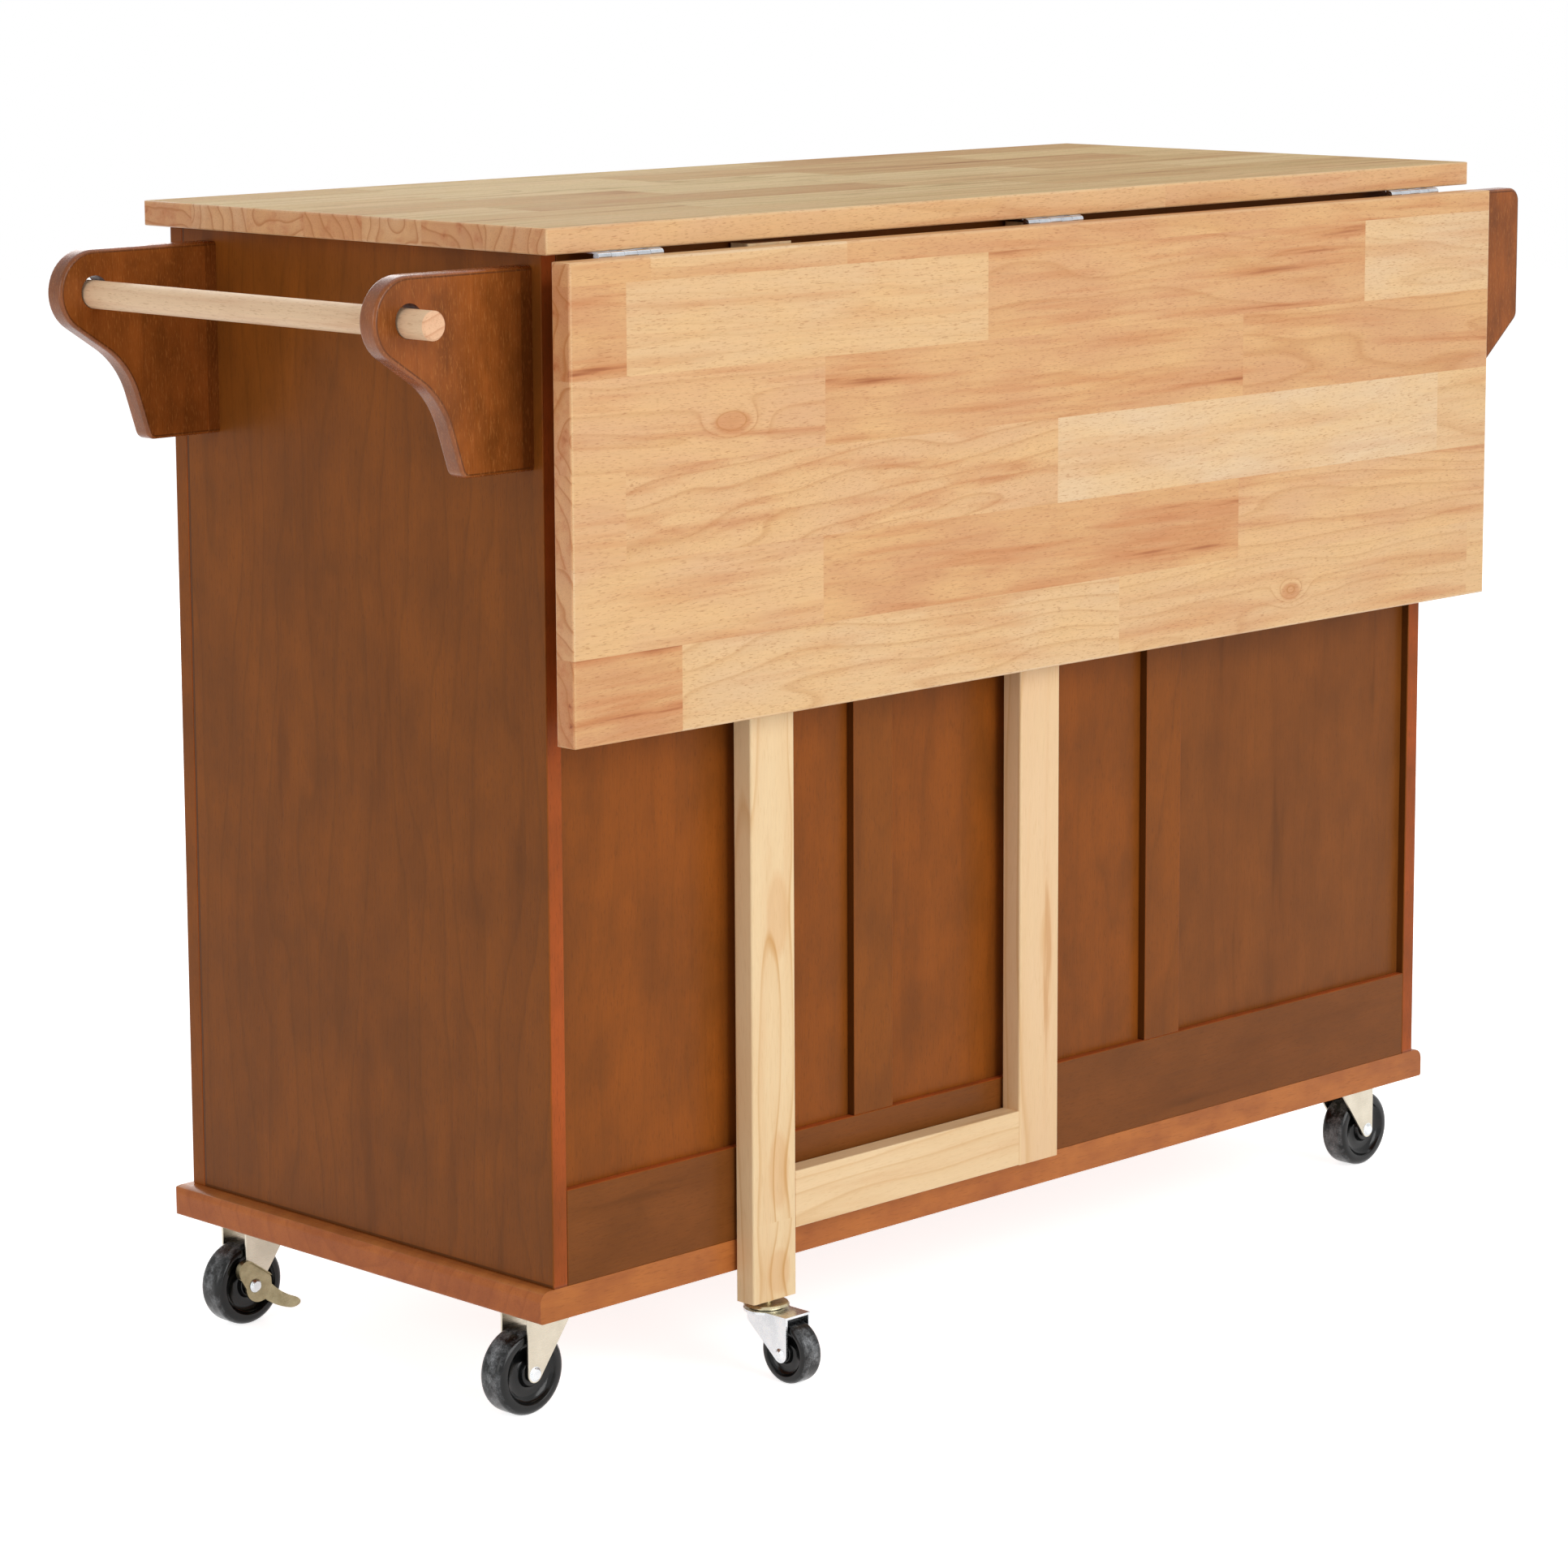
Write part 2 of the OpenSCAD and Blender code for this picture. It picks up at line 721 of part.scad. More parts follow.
// Fork with its riveted axle, for a wheel on the floor that trails along +X.
// extra is room on the +Y side of the axle for a brake lever.
module fork(trail, wheel_r, w, top_z, race, pin_r, tip_r, shaft_r, extra) {
    half = w / 2 + wheel_side;
    outer = half + sheet_t;
    difference() {
        union() {
            for (y = [-half, outer])
                along_y(y, sheet_t) fork_leg_profile(trail, wheel_r, top_z, race * 0.45, tip_r);
            translate([0, 0, top_z - sheet_t])
                linear_extrude(sheet_t) {
                    circle(r = race);
                    translate([0, -outer]) square([trail + tip_r, 2 * outer]);
                    translate([-race * 0.45, -outer]) square([race * 0.45 + 1, 2 * outer]);
                }
        }
        translate([0, 0, top_z - 2 * sheet_t]) cylinder(r = pin_r + running_fit, h = 3 * sheet_t);
    }
    translate([trail, 0, wheel_r]) rotate([90, 0, 0]) {
        translate([0, 0, -outer - extra]) cylinder(r = shaft_r, h = 2 * outer + extra);
        translate([0, 0, outer]) cylinder(r1 = shaft_r + 2, r2 = shaft_r - 0.5, h = 2.5);
        translate([0, 0, -outer - extra - 2.5])
            cylinder(r1 = shaft_r - 0.5, r2 = shaft_r + 2, h = 2.5);
    }
}

// Wheel with a rounded tread, a recessed web on each side and a hub, its axle along Y
module wheel(r, w, shaft_r) {
    rim = r * 0.27;
    web_in = w * 0.24;
    tread_r = w * 0.22;
    rotate([90, 0, 0])
        rotate_extrude($fn = 96) {
            translate([r - rim, -w / 2]) soft_rect(rim, w, [1, tread_r, tread_r, 1]);
            translate([shaft_r + running_fit, -w / 2 + web_in])
                square([r - rim - shaft_r, w - 2 * web_in]);
            translate([shaft_r + running_fit, -w / 2 - 1]) square([r * 0.16, w + 2]);
        }
}

// Places a caster's child with the wheel trailing outwards, to the right (1) or left (-1)
module at_caster(side, y) {
    translate([side * caster_x, y, 0]) rotate(side > 0 ? 0 : 180) children();
}

module body_fork(side, y, extra) {
    color(zinc)
        at_caster(side, y)
            fork(caster_trail, wheel_d / 2, wheel_w, fork_top, race_r, king_r, 7, axle_d / 2, extra);
}

module body_wheel(side, y) {
    color(wheel_black)
        at_caster(side, y)
            translate([caster_trail, 0, wheel_d / 2]) wheel(wheel_d / 2, wheel_w, axle_d / 2);
}

lever_room = lever_t + 2 * side_play;

// Face of a brake lever, with the axle at the origin and the tab's side along +X
module lever_face() {
    cap = [-10, 14.5];
    cap_r = 8.7;
    foot = [4, -1];
    foot_r = 13.4;
    translate(cap) circle(r = cap_r);
    translate(foot) circle(r = foot_r);
    polygon([
        cap - [cap_r, 0], foot - [foot_r, 0], foot, foot + [0.67, 0.74] * foot_r,
        cap + [0.45, 0.89] * cap_r, cap
    ]);
}

// Stamped brake lever on the end of the axle: a plate with a lip over its top edge, and a
// finger tab that points inwards and down and is bent away from the wheel
module brake_lever(side) {
    tab_x = 13;
    tab_l = 33;
    tab_r = 6;
    tab_tilt = 27;
    tab_bend = 15;
    lip = 3;
    y_in = wheel_w / 2 + wheel_side + sheet_t + side_play;
    color(zinc)
        at_caster(side, caster_front_y)
            translate([caster_trail, y_in + lever_t, wheel_d / 2])
                rotate([90, 0, 0])
                    mirror([1, 0, 0])
                        difference() {
                            union() {
                                linear_extrude(lever_t) lever_face();
                                translate([0, 0, -lip])
                                    linear_extrude(lip + lever_t / 2)
                                        intersection() {
                                            difference() {
                                                lever_face();
                                                translate([1.2, -1.8]) lever_face();
                                            }
                                            translate([-30, 6]) square([45, 30]);
                                        }
                                rotate(-tab_tilt)
                                    translate([tab_x, 0, 0])
                                        rotate([0, tab_bend, 0])
                                            linear_extrude(lever_t) {
                                                translate([0, -tab_r - 1])
                                                    square([tab_l - tab_r, 2 * tab_r + 2]);
                                                translate([tab_l - tab_r - 1, 0])
                                                    circle(r = tab_r + 1);
                                            }
                            }
                            translate([0, 0, -2 * lip])
                                cylinder(r = axle_d / 2 + running_fit, h = 4 * lip + lever_t);
                        }
}

// Top plates with the ball races and riveted kingpins, screwed under the base board
module caster_plates() {
    color(zinc)
        for (x = [-caster_x, caster_x], y = [caster_front_y, caster_back_y])
            translate([x, y, 0]) {
                translate([-35, -29, caster_h - plate_t])
                    linear_extrude(plate_t) soft_rect(70, 58, [5, 5, 5, 5]);
                translate([0, 0, fork_top + side_play])
                    cylinder(r = race_r, h = caster_h - fork_top - side_play);
                translate([0, 0, fork_top - sheet_t - side_play])
                    cylinder(r = king_r, h = sheet_t + 3 * side_play);
                translate([0, 0, fork_top - sheet_t - side_play - 2])
                    cylinder(r1 = king_r + 1.5, r2 = king_r + 3, h = 2);
            }
}

module fork_front_right() { body_fork(1, caster_front_y, lever_room); }
module fork_front_left() { body_fork(-1, caster_front_y, lever_room); }
module fork_back_right() { body_fork(1, caster_back_y, 0); }
module fork_back_left() { body_fork(-1, caster_back_y, 0); }
module wheel_front_right() { body_wheel(1, caster_front_y); }
module wheel_front_left() { body_wheel(-1, caster_front_y); }
module wheel_back_right() { body_wheel(1, caster_back_y); }
module wheel_back_left() { body_wheel(-1, caster_back_y); }
module brake_lever_front_right() { brake_lever(1); }
module brake_lever_front_left() { brake_lever(-1); }

module gate_caster_fork() {
    color(zinc)
        translate([gate_caster_x, gate_y, 0])
            rotate(90)
                fork(gate_trail, gate_wheel_d / 2, gate_wheel_w, gate_fork_top, gate_disc_r,
                    gate_stem_r, 7, axle_d / 2 - 1, 0);
}

module gate_caster_wheel() {
    color(wheel_black)
        translate([gate_caster_x, gate_y, 0])
            rotate(90)
                translate([gate_trail, 0, gate_wheel_d / 2])
                    wheel(gate_wheel_d / 2, gate_wheel_w, axle_d / 2 - 1);
}

// ---- Doors ----

door_w = door_x1 - door_x0;
door_h = door_z1 - door_z0;
door_panel_t = front_t - 2 * panel_recess;

// Panel of a door with its edges in the frame's groove, grown on each side by room
module door_panel_at(room) {
    f = door_frame_w - panel_groove - room;
    translate([door_x0 + f, body_front + panel_recess, door_z0 + f])
        cube([door_w - 2 * f, door_panel_t, door_h - 2 * f]);
}

module door_panel() {
    color(stain) door_panel_at(0);
}

// Two stiles over the door's whole height, with two rails between them
module door_frame() {
    f = door_frame_w;
    color(stain)
        difference() {
            translate([door_x0, body_front, door_z0]) {
                for (x = [0, door_w - f]) translate([x, 0, 0]) cube([f, front_t, door_h]);
                for (z = [0, door_h - f]) translate([f, 0, z]) cube([door_w - 2 * f, front_t, f]);
            }
            door_panel_at(panel_room);
        }
}

module door_knob() {
    color(zinc)
        translate([door_x0 + door_frame_w / 2, body_front, (door_z0 + door_z1) / 2 + knob_up])
            rotate([90, 0, 0]) knob();
}

function door_hinge_z() = [door_z0 + door_hinge_in, door_z1 - door_hinge_in];

module door_hinge_leaves() {
    color(zinc)
        for (z = door_hinge_z())
            translate([door_pin_x, door_pin_y, z]) {
                knuckles(door_hinge_l, 3, 1, door_knuckle_r, door_pin_r + running_fit);
                difference() {
                    union() {
                        translate([-front_gap / 2, body_front - door_pin_y, -door_hinge_l / 2])
                            cube([door_plate_t, door_plate_w, door_hinge_l]);
                        translate([-front_gap / 2, 0, -door_hinge_l / 6 + side_play / 2])
                            cube([door_plate_t, body_front - door_pin_y + 1,
                                door_hinge_l / 3 - side_play]);
                    }
                    translate([0, 0, -door_hinge_l])
                        cylinder(r = door_pin_r + running_fit, h = 2 * door_hinge_l);
                }
            }
}

module door_hinge_fixed_leaves() {
    color(zinc)
        for (s = [0, 1], z = door_hinge_z())
            mirror([s, 0, 0])
                translate([door_pin_x, door_pin_y, z]) {
                    knuckles(door_hinge_l, 3, 0, door_knuckle_r, 0);
                    translate([0, 0, -door_hinge_l / 2]) cylinder(r = door_pin_r, h = door_hinge_l);
                    translate([front_gap / 2 - door_plate_t, body_front - door_pin_y, -door_hinge_l / 2])
                        cube([door_plate_t, door_plate_w, door_hinge_l]);
                    for (i = [0, 2])
                        translate([
                            front_gap / 2 - door_plate_t, 0,
                            -door_hinge_l / 2 + i * door_hinge_l / 3 + side_play / 2
                        ])
                            cube([door_plate_t, body_front - door_pin_y + 1,
                                door_hinge_l / 3 - side_play]);
                }
}

module right_door_frame() { door_frame(); }
module right_door_panel() { door_panel(); }
module right_door_knob() { door_knob(); }
module right_door_hinge_leaves() { door_hinge_leaves(); }
module left_door_frame() { mirror([1, 0, 0]) door_frame(); }
module left_door_panel() { mirror([1, 0, 0]) door_panel(); }
module left_door_knob() { mirror([1, 0, 0]) door_knob(); }
module left_door_hinge_leaves() { mirror([1, 0, 0]) door_hinge_leaves(); }

// ---- Drawers, counted from the bottom ----

drawer_box_w = drawer_open_w - 11;
runner_t = 10;
drawer_lift = 14;          // box above the sill of its opening
box_y0 = body_front + front_t;
drawer_d = inner_back - drawer_back_gap - box_y0;

module drawer_front(i) {
    color(stain)
        translate([
            -drawer_open_w / 2 + front_gap, body_front, opening_z + i * drawer_pitch + front_gap
        ])
            eased_board([drawer_open_w - 2 * front_gap, front_t, drawer_open_h - 2 * front_gap], 1.5);
}

// Two sides, a front and a back wall between them, and a bottom
module drawer_box(i) {
    w = drawer_box_w;
    t = drawer_wall;
    color(pine)
        translate([-w / 2, box_y0, opening_z + i * drawer_pitch + drawer_lift]) {
            for (x = [0, w - t]) translate([x, 0, 0]) cube([t, drawer_d, drawer_h]);
            for (y = [0, drawer_d - t]) translate([t, y, 0]) cube([w - 2 * t, t, drawer_h]);
            translate([t, t, 0]) cube([w - 2 * t, drawer_d - 2 * t, drawer_floor]);
        }
}

module drawer_knob(i) {
    color(zinc)
        translate([0, body_front, opening_z + i * drawer_pitch + drawer_open_h / 2])
            rotate([90, 0, 0]) knob();
}

// Wooden runners on the dividers: a ledge under each side of a box and a guide beside it
module drawer_runners() {
    face = divider_x - panel_t / 2;
    ledge_x = drawer_box_w / 2 - drawer_wall;
    guide_x = drawer_box_w / 2 + 0.5;
    color(pine)
        for (s = [0, 1], i = [0 : 2])
            mirror([s, 0, 0])
                translate([0, 0, opening_z + i * drawer_pitch + drawer_lift - side_play - runner_t])
                    along_y(inner_back, inner_back - box_y0 - clear)
                        polygon([
                            [ledge_x, 0], [face, 0], [face, runner_t + 25], [guide_x, runner_t + 25],
                            [guide_x, runner_t], [ledge_x, runner_t]
                        ]);
}

module top_drawer_front() { drawer_front(2); }
module top_drawer_box() { drawer_box(2); }
module top_drawer_knob() { drawer_knob(2); }
module middle_drawer_front() { drawer_front(1); }
module middle_drawer_box() { drawer_box(1); }
module middle_drawer_knob() { drawer_knob(1); }
module bottom_drawer_front() { drawer_front(0); }
module bottom_drawer_box() { drawer_box(0); }
module bottom_drawer_knob() { drawer_knob(0); }

worktop();
base_board();
right_side_panel();
left_side_panel();
dividers();
back_panel();
back_battens();
back_rails();
face_stiles();
face_rails();
shelves();
shelf_pins();
towel_brackets();
towel_bar();
spice_brackets();
spice_shelf();
spice_rail();
drop_leaf();
leaf_hinge_fixed_leaves();
leaf_hinge_moving_leaves();
leaf_hinge_pins();
gate_caster_leg();
gate_pivot_stile();
gate_rails();
gate_hinge_fixed_leaves();
gate_hinge_moving_leaves();
gate_caster_stem();
gate_caster_fork();
gate_caster_wheel();
caster_plates();
fork_front_right();
fork_front_left();
fork_back_right();
fork_back_left();
wheel_front_right();
wheel_front_left();
wheel_back_right();
wheel_back_left();
brake_lever_front_right();
brake_lever_front_left();
right_door_frame();
right_door_panel();
right_door_knob();
right_door_hinge_leaves();
left_door_frame();
left_door_panel();
left_door_knob();
left_door_hinge_leaves();
door_hinge_fixed_leaves();
drawer_runners();
top_drawer_front();
top_drawer_box();
top_drawer_knob();
middle_drawer_front();
middle_drawer_box();
middle_drawer_knob();
bottom_drawer_front();
bottom_drawer_box();
bottom_drawer_knob();
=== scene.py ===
import math
import random
import bmesh
import bpy
from mathutils import Matrix, Vector


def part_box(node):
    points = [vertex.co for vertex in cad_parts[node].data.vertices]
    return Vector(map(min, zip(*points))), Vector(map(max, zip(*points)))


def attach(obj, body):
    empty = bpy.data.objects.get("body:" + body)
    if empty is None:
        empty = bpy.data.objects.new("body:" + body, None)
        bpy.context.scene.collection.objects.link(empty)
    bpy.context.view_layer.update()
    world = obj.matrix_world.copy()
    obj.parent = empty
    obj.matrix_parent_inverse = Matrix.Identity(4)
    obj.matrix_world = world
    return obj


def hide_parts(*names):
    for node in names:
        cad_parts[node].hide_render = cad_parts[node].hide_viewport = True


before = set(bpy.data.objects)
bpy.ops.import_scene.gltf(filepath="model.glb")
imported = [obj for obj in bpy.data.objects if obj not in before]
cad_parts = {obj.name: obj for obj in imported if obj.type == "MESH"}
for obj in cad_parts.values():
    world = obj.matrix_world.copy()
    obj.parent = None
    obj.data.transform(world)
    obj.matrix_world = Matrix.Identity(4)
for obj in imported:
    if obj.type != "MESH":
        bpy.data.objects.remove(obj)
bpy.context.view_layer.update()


# ---- Camera, floor and studio light -------------------------------------------------------------
# A long lens at worktop height and a bit more, off the towel bar's corner, looking down a little.
# The floor and the world are plain white to the camera and to mirrors, and grey to the wood.

camera_place = (2.9119, 2.8391, 1.1687)
yaw, pitch, roll = math.radians(44.946), math.radians(9.143), math.radians(-0.266)
ahead = Vector((-math.sin(yaw) * math.cos(pitch), -math.cos(yaw) * math.cos(pitch), -math.sin(pitch)))
level = ahead.cross(Vector((0, 0, 1))).normalized()
above = level.cross(ahead)
level, above = (level * math.cos(roll) + above * math.sin(roll),
                above * math.cos(roll) - level * math.sin(roll))
link = bpy.context.scene.collection.objects.link
camera = bpy.data.objects.new("camera", bpy.data.cameras.new("camera"))
camera.data.lens = 111.05
camera.data.shift_y = -0.08
turn = Matrix((level, above, -ahead)).transposed().to_4x4()
camera.matrix_world = Matrix.Translation(camera_place) @ turn
link(camera)
bpy.context.scene.camera = camera
bpy.context.scene.view_settings.view_transform = "Standard"


def colour(hex_value):
    """sRGB hex to linear RGBA."""
    parts = [int(hex_value[i:i + 2], 16) / 255 for i in (0, 2, 4)]
    return tuple(p / 12.92 if p <= 0.04045 else ((p + 0.055) / 1.055) ** 2.4 for p in parts) + (1,)


def add(tree, kind, settings=None, **sockets):
    """Adds one node. Sockets are given by name, or as i0, i1 by number, and set or linked; a list
    is linked in its order."""
    node = tree.nodes.new(kind)
    for key, value in (settings or {}).items():
        if key == "stops":
            ramp = node.color_ramp.elements
            while len(ramp) < len(value):
                ramp.new(0.5)
            for stop, (at, hex_value) in zip(ramp, value):
                stop.position, stop.color = at, colour(hex_value)
        else:
            setattr(node, key, value)
    for key, value in sockets.items():
        number = key[0] == "i" and key[1:].isdigit()
        socket = node.inputs[int(key[1:]) if number else key.replace("_", " ")]
        for source in value if isinstance(value, list) else [value]:
            if isinstance(source, bpy.types.NodeSocket):
                tree.links.new(source, socket)
            else:
                socket.default_value = source
    return node


def new_material(name):
    """An empty material and its node tree."""
    made = bpy.data.materials.new(name)
    made.use_nodes = True
    made.node_tree.nodes.clear()
    return made, made.node_tree


studio_grey, plain_white, paper_glow = 0.4, 1.0, 0.78
world = bpy.data.worlds.new("studio")
world.use_nodes = True
world.node_tree.nodes.clear()
# Matt white paper: it takes soft shadows, and glows just enough to be seen as white.
floor_paper, paper_tree = new_material("matt_white_floor_paper")
for tree in (world.node_tree, paper_tree):
    path = add(tree, "ShaderNodeLightPath")
    seen = add(tree, "ShaderNodeMath", {"operation": "MAXIMUM"},
               i0=path.outputs["Is Camera Ray"], i1=path.outputs["Is Glossy Ray"])
    seen = add(tree, "ShaderNodeMath", {"operation": "MAXIMUM"},
               i0=seen.outputs[0], i1=path.outputs["Is Transmission Ray"]).outputs[0]
    if tree is paper_tree:
        matt = add(tree, "ShaderNodeBsdfDiffuse", Color=colour("F2F2F2"))
        glow = add(tree, "ShaderNodeEmission", Color=(1, 1, 1, 1), Strength=paper_glow)
        lit = add(tree, "ShaderNodeAddShader", i0=matt.outputs[0], i1=glow.outputs[0])
        mixed = add(tree, "ShaderNodeMixShader", i0=seen, i1=matt.outputs[0], i2=lit.outputs[0])
        add(tree, "ShaderNodeOutputMaterial", Surface=mixed.outputs[0])
    else:
        grey = add(tree, "ShaderNodeBackground", Color=(1, 1, 1, 1), Strength=studio_grey)
        white = add(tree, "ShaderNodeBackground", Color=(1, 1, 1, 1), Strength=plain_white)
        mixed = add(tree, "ShaderNodeMixShader", i0=seen, i1=grey.outputs[0], i2=white.outputs[0])
        add(tree, "ShaderNodeOutputWorld", Surface=mixed.outputs[0])
bpy.context.scene.world = world

floor_mesh = bpy.data.meshes.new("floor")
floor_mesh.from_pydata([(-9, -9, 0), (9, -9, 0), (9, 9, 0), (-9, 9, 0)], [], [(0, 1, 2, 3)])
floor_mesh.materials.append(floor_paper)
floor = bpy.data.objects.new("floor", floor_mesh)
link(floor)

# each softbox's place and width in metres and its watts, all turned to the island's middle
lit_middle = Vector((0, 0, 0.45))
for name, place, size, power in (("back_softbox", (0.2, 3.8, 1.7), 2.6, 78),
                                 ("end_softbox", (3.9, 0.1, 1.4), 2.2, 28),
                                 ("top_softbox", (-0.5, -0.1, 3.6), 2.6, 22),
                                 ("front_softbox", (-1.6, -3.6, 1.8), 2.6, 50)):
    lamp = bpy.data.lights.new(name, "AREA")
    lamp.shape, lamp.size, lamp.energy = "SQUARE", size, power
    holder = bpy.data.objects.new(name, lamp)
    holder.location = place
    holder.rotation_euler = (lit_middle - Vector(place)).to_track_quat("-Z", "Y").to_euler()
    link(holder)


# ---- Caster plates and their screws -------------------------------------------------------------
# Pressed steel top plates with a ball race and a riveted kingpin, each held under the base board
# by four cross-head wood screws. All of it is in satin nickel, like the forks below.

multiply = {"operation": "MULTIPLY"}


def metal(name, tint, dull_tint, roughness, patch_mm, brush_mm, bump):
    """Plated sheet steel: tint over dull_tint in patches, with rolling marks along X that are 25
    times as long as wide, and wider than real ones, so that they show."""
    made, tree = new_material(name)
    place = add(tree, "ShaderNodeTexCoord").outputs["Object"]
    patch = add(tree, "ShaderNodeTexNoise", Vector=place, Scale=1000 / patch_mm, Detail=4.0, Roughness=0.6)
    drawn = add(tree, "ShaderNodeVectorMath", multiply, i0=place,
                i1=(40 / brush_mm, 1000 / brush_mm, 1000 / brush_mm))
    marks = add(tree, "ShaderNodeTexNoise", Vector=drawn.outputs[0], Scale=1.0, Detail=3.0)
    share = add(tree, "ShaderNodeMapRange", i0=patch.outputs[0], i1=0.35, i2=0.7)
    tints = add(tree, "ShaderNodeMix", {"data_type": "RGBA"}, i0=share.outputs[0], i6=colour(tint),
                i7=colour(dull_tint))
    gloss = add(tree, "ShaderNodeMapRange", i0=marks.outputs[0], i1=0.3, i2=0.75,
                i3=roughness - 0.06, i4=roughness + 0.1)
    relief = add(tree, "ShaderNodeBump", Strength=bump, Distance=0.0003, Height=marks.outputs[0])
    skin = add(tree, "ShaderNodeBsdfPrincipled", Base_Color=tints.outputs[2], Metallic=1.0,
               Roughness=gloss.outputs[0], Normal=relief.outputs[0])
    add(tree, "ShaderNodeOutputMaterial", Surface=skin.outputs[0])
    return made


# Satin nickel: warmer and darker than zinc, a soft blur instead of a mirror.
satin_nickel = metal("satin_nickel_plate", "CDC5B4", "BDB5A4", roughness=0.3, patch_mm=22,
                     brush_mm=0.4, bump=0.06)


def clean_copy(node):
    """A CAD node's mesh with its doubles merged and its flat faces whole."""
    bm = bmesh.new()
    bm.from_mesh(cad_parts[node].data)
    bmesh.ops.remove_doubles(bm, verts=bm.verts, dist=2e-6)
    bmesh.ops.dissolve_limit(bm, angle_limit=math.radians(0.6), verts=bm.verts, edges=bm.edges)
    return bm


def finish_piece(name, bm, material, body, nodes, crease=38):
    """Makes the object from bm: shaded smooth up to crease degrees, riding on body and standing
    for nodes."""
    mesh = bpy.data.meshes.new(name)
    bm.to_mesh(mesh)
    bm.free()
    for face in mesh.polygons:
        face.use_smooth = True
    mesh.set_sharp_from_angle(angle=math.radians(crease))
    mesh.materials.append(material)
    piece = bpy.data.objects.new(name, mesh)
    link(piece)
    even = piece.modifiers.new("even_normals", "WEIGHTED_NORMAL")
    even.keep_sharp = True
    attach(piece, body)
    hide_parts(*nodes)
    return piece


def ease(bm, width, segments=2, over=25, wanted=lambda edge: True):
    """Rounds the edges that turn by more than over degrees."""
    edges = [e for e in bm.edges
             if len(e.link_faces) == 2 and e.calc_face_angle() > math.radians(over) and wanted(e)]
    bmesh.ops.bevel(bm, geom=edges, offset=width, offset_type="OFFSET", segments=segments,
                    profile=0.5, affect="EDGES", clamp_overlap=True)


sheared = 50    # a pressed or turned steel edge turns by more than this, in degrees


def steel_piece(name, node, material, body, width):
    """A pressed or turned steel node, with its sheared edges broken by width."""
    bm = clean_copy(node)
    if width:
        ease(bm, width, over=sheared)
    return finish_piece(name, bm, material, body, (node,))


steel_piece("caster_top_plates", "caster_plates", satin_nickel, "cabinet", 0.0005)

# The screw: a low dome on a round head with a cross cut in it, put on loose points that hold
# the way each head faces.
screw_tree = bpy.data.node_groups.new("wood_screw_heads", "GeometryNodeTree")
screw_sockets = screw_tree.interface
screw_sockets.new_socket("Points", in_out="INPUT", socket_type="NodeSocketGeometry")
for label, size in (("Head radius", 0.004), ("Head height", 0.0012), ("Cut width", 0.0011)):
    screw_sockets.new_socket(label, in_out="INPUT", socket_type="NodeSocketFloat").default_value = size
screw_sockets.new_socket("Plating", in_out="INPUT", socket_type="NodeSocketMaterial")
screw_sockets.new_socket("Heads", in_out="OUTPUT", socket_type="NodeSocketGeometry")
given = add(screw_tree, "NodeGroupInput").outputs
disc = add(screw_tree, "GeometryNodeMeshCircle", {"fill_type": "NGON"}, Vertices=20,
           Radius=given["Head radius"])
half_height = add(screw_tree, "ShaderNodeMath", multiply, i0=given["Head height"], i1=0.5).outputs[0]
body_up = add(screw_tree, "GeometryNodeExtrudeMesh", {"mode": "FACES"}, Mesh=disc.outputs[0],
              Offset_Scale=half_height)
dome_up = add(screw_tree, "GeometryNodeExtrudeMesh", {"mode": "FACES"}, Mesh=body_up.outputs[0],
              Selection=body_up.outputs["Top"], Offset_Scale=half_height)
dome = add(screw_tree, "GeometryNodeScaleElements", Geometry=dome_up.outputs[0],
           Selection=dome_up.outputs["Top"], Scale=0.62)
# extruding leaves the underside open, so the first disc closes it, turned to face down
underside = add(screw_tree, "GeometryNodeFlipFaces", Mesh=disc.outputs[0])
head = add(screw_tree, "GeometryNodeJoinGeometry", Geometry=[dome.outputs[0], underside.outputs[0]])
head = add(screw_tree, "GeometryNodeMergeByDistance", Geometry=head.outputs[0], Distance=1e-6)
# the cut is two bars crossed at the top, each a little longer than the head's radius
lift = add(screw_tree, "ShaderNodeCombineXYZ", Z=given["Head height"]).outputs[0]
arm = add(screw_tree, "ShaderNodeMath", multiply, i0=given["Head radius"], i1=1.1).outputs[0]
bars = []
for x_size, y_size in ((arm, given["Cut width"]), (given["Cut width"], arm)):
    size = add(screw_tree, "ShaderNodeCombineXYZ", X=x_size, Y=y_size, Z=given["Head height"])
    bar = add(screw_tree, "GeometryNodeMeshCube", Size=size.outputs[0])
    bars.append(add(screw_tree, "GeometryNodeTransform", Geometry=bar.outputs[0],
                    Translation=lift).outputs[0])
cross = add(screw_tree, "GeometryNodeMeshBoolean", {"operation": "UNION", "solver": "EXACT"}, i1=bars)
cut_head = add(screw_tree, "GeometryNodeMeshBoolean", {"operation": "DIFFERENCE", "solver": "EXACT"},
               i0=head.outputs[0], i1=cross.outputs[0])
faces_to = add(screw_tree, "GeometryNodeInputNamedAttribute", {"data_type": "FLOAT_VECTOR"}, Name="facing")
turned = add(screw_tree, "FunctionNodeAlignRotationToVector", {"axis": "Z"}, Vector=faces_to.outputs[0])
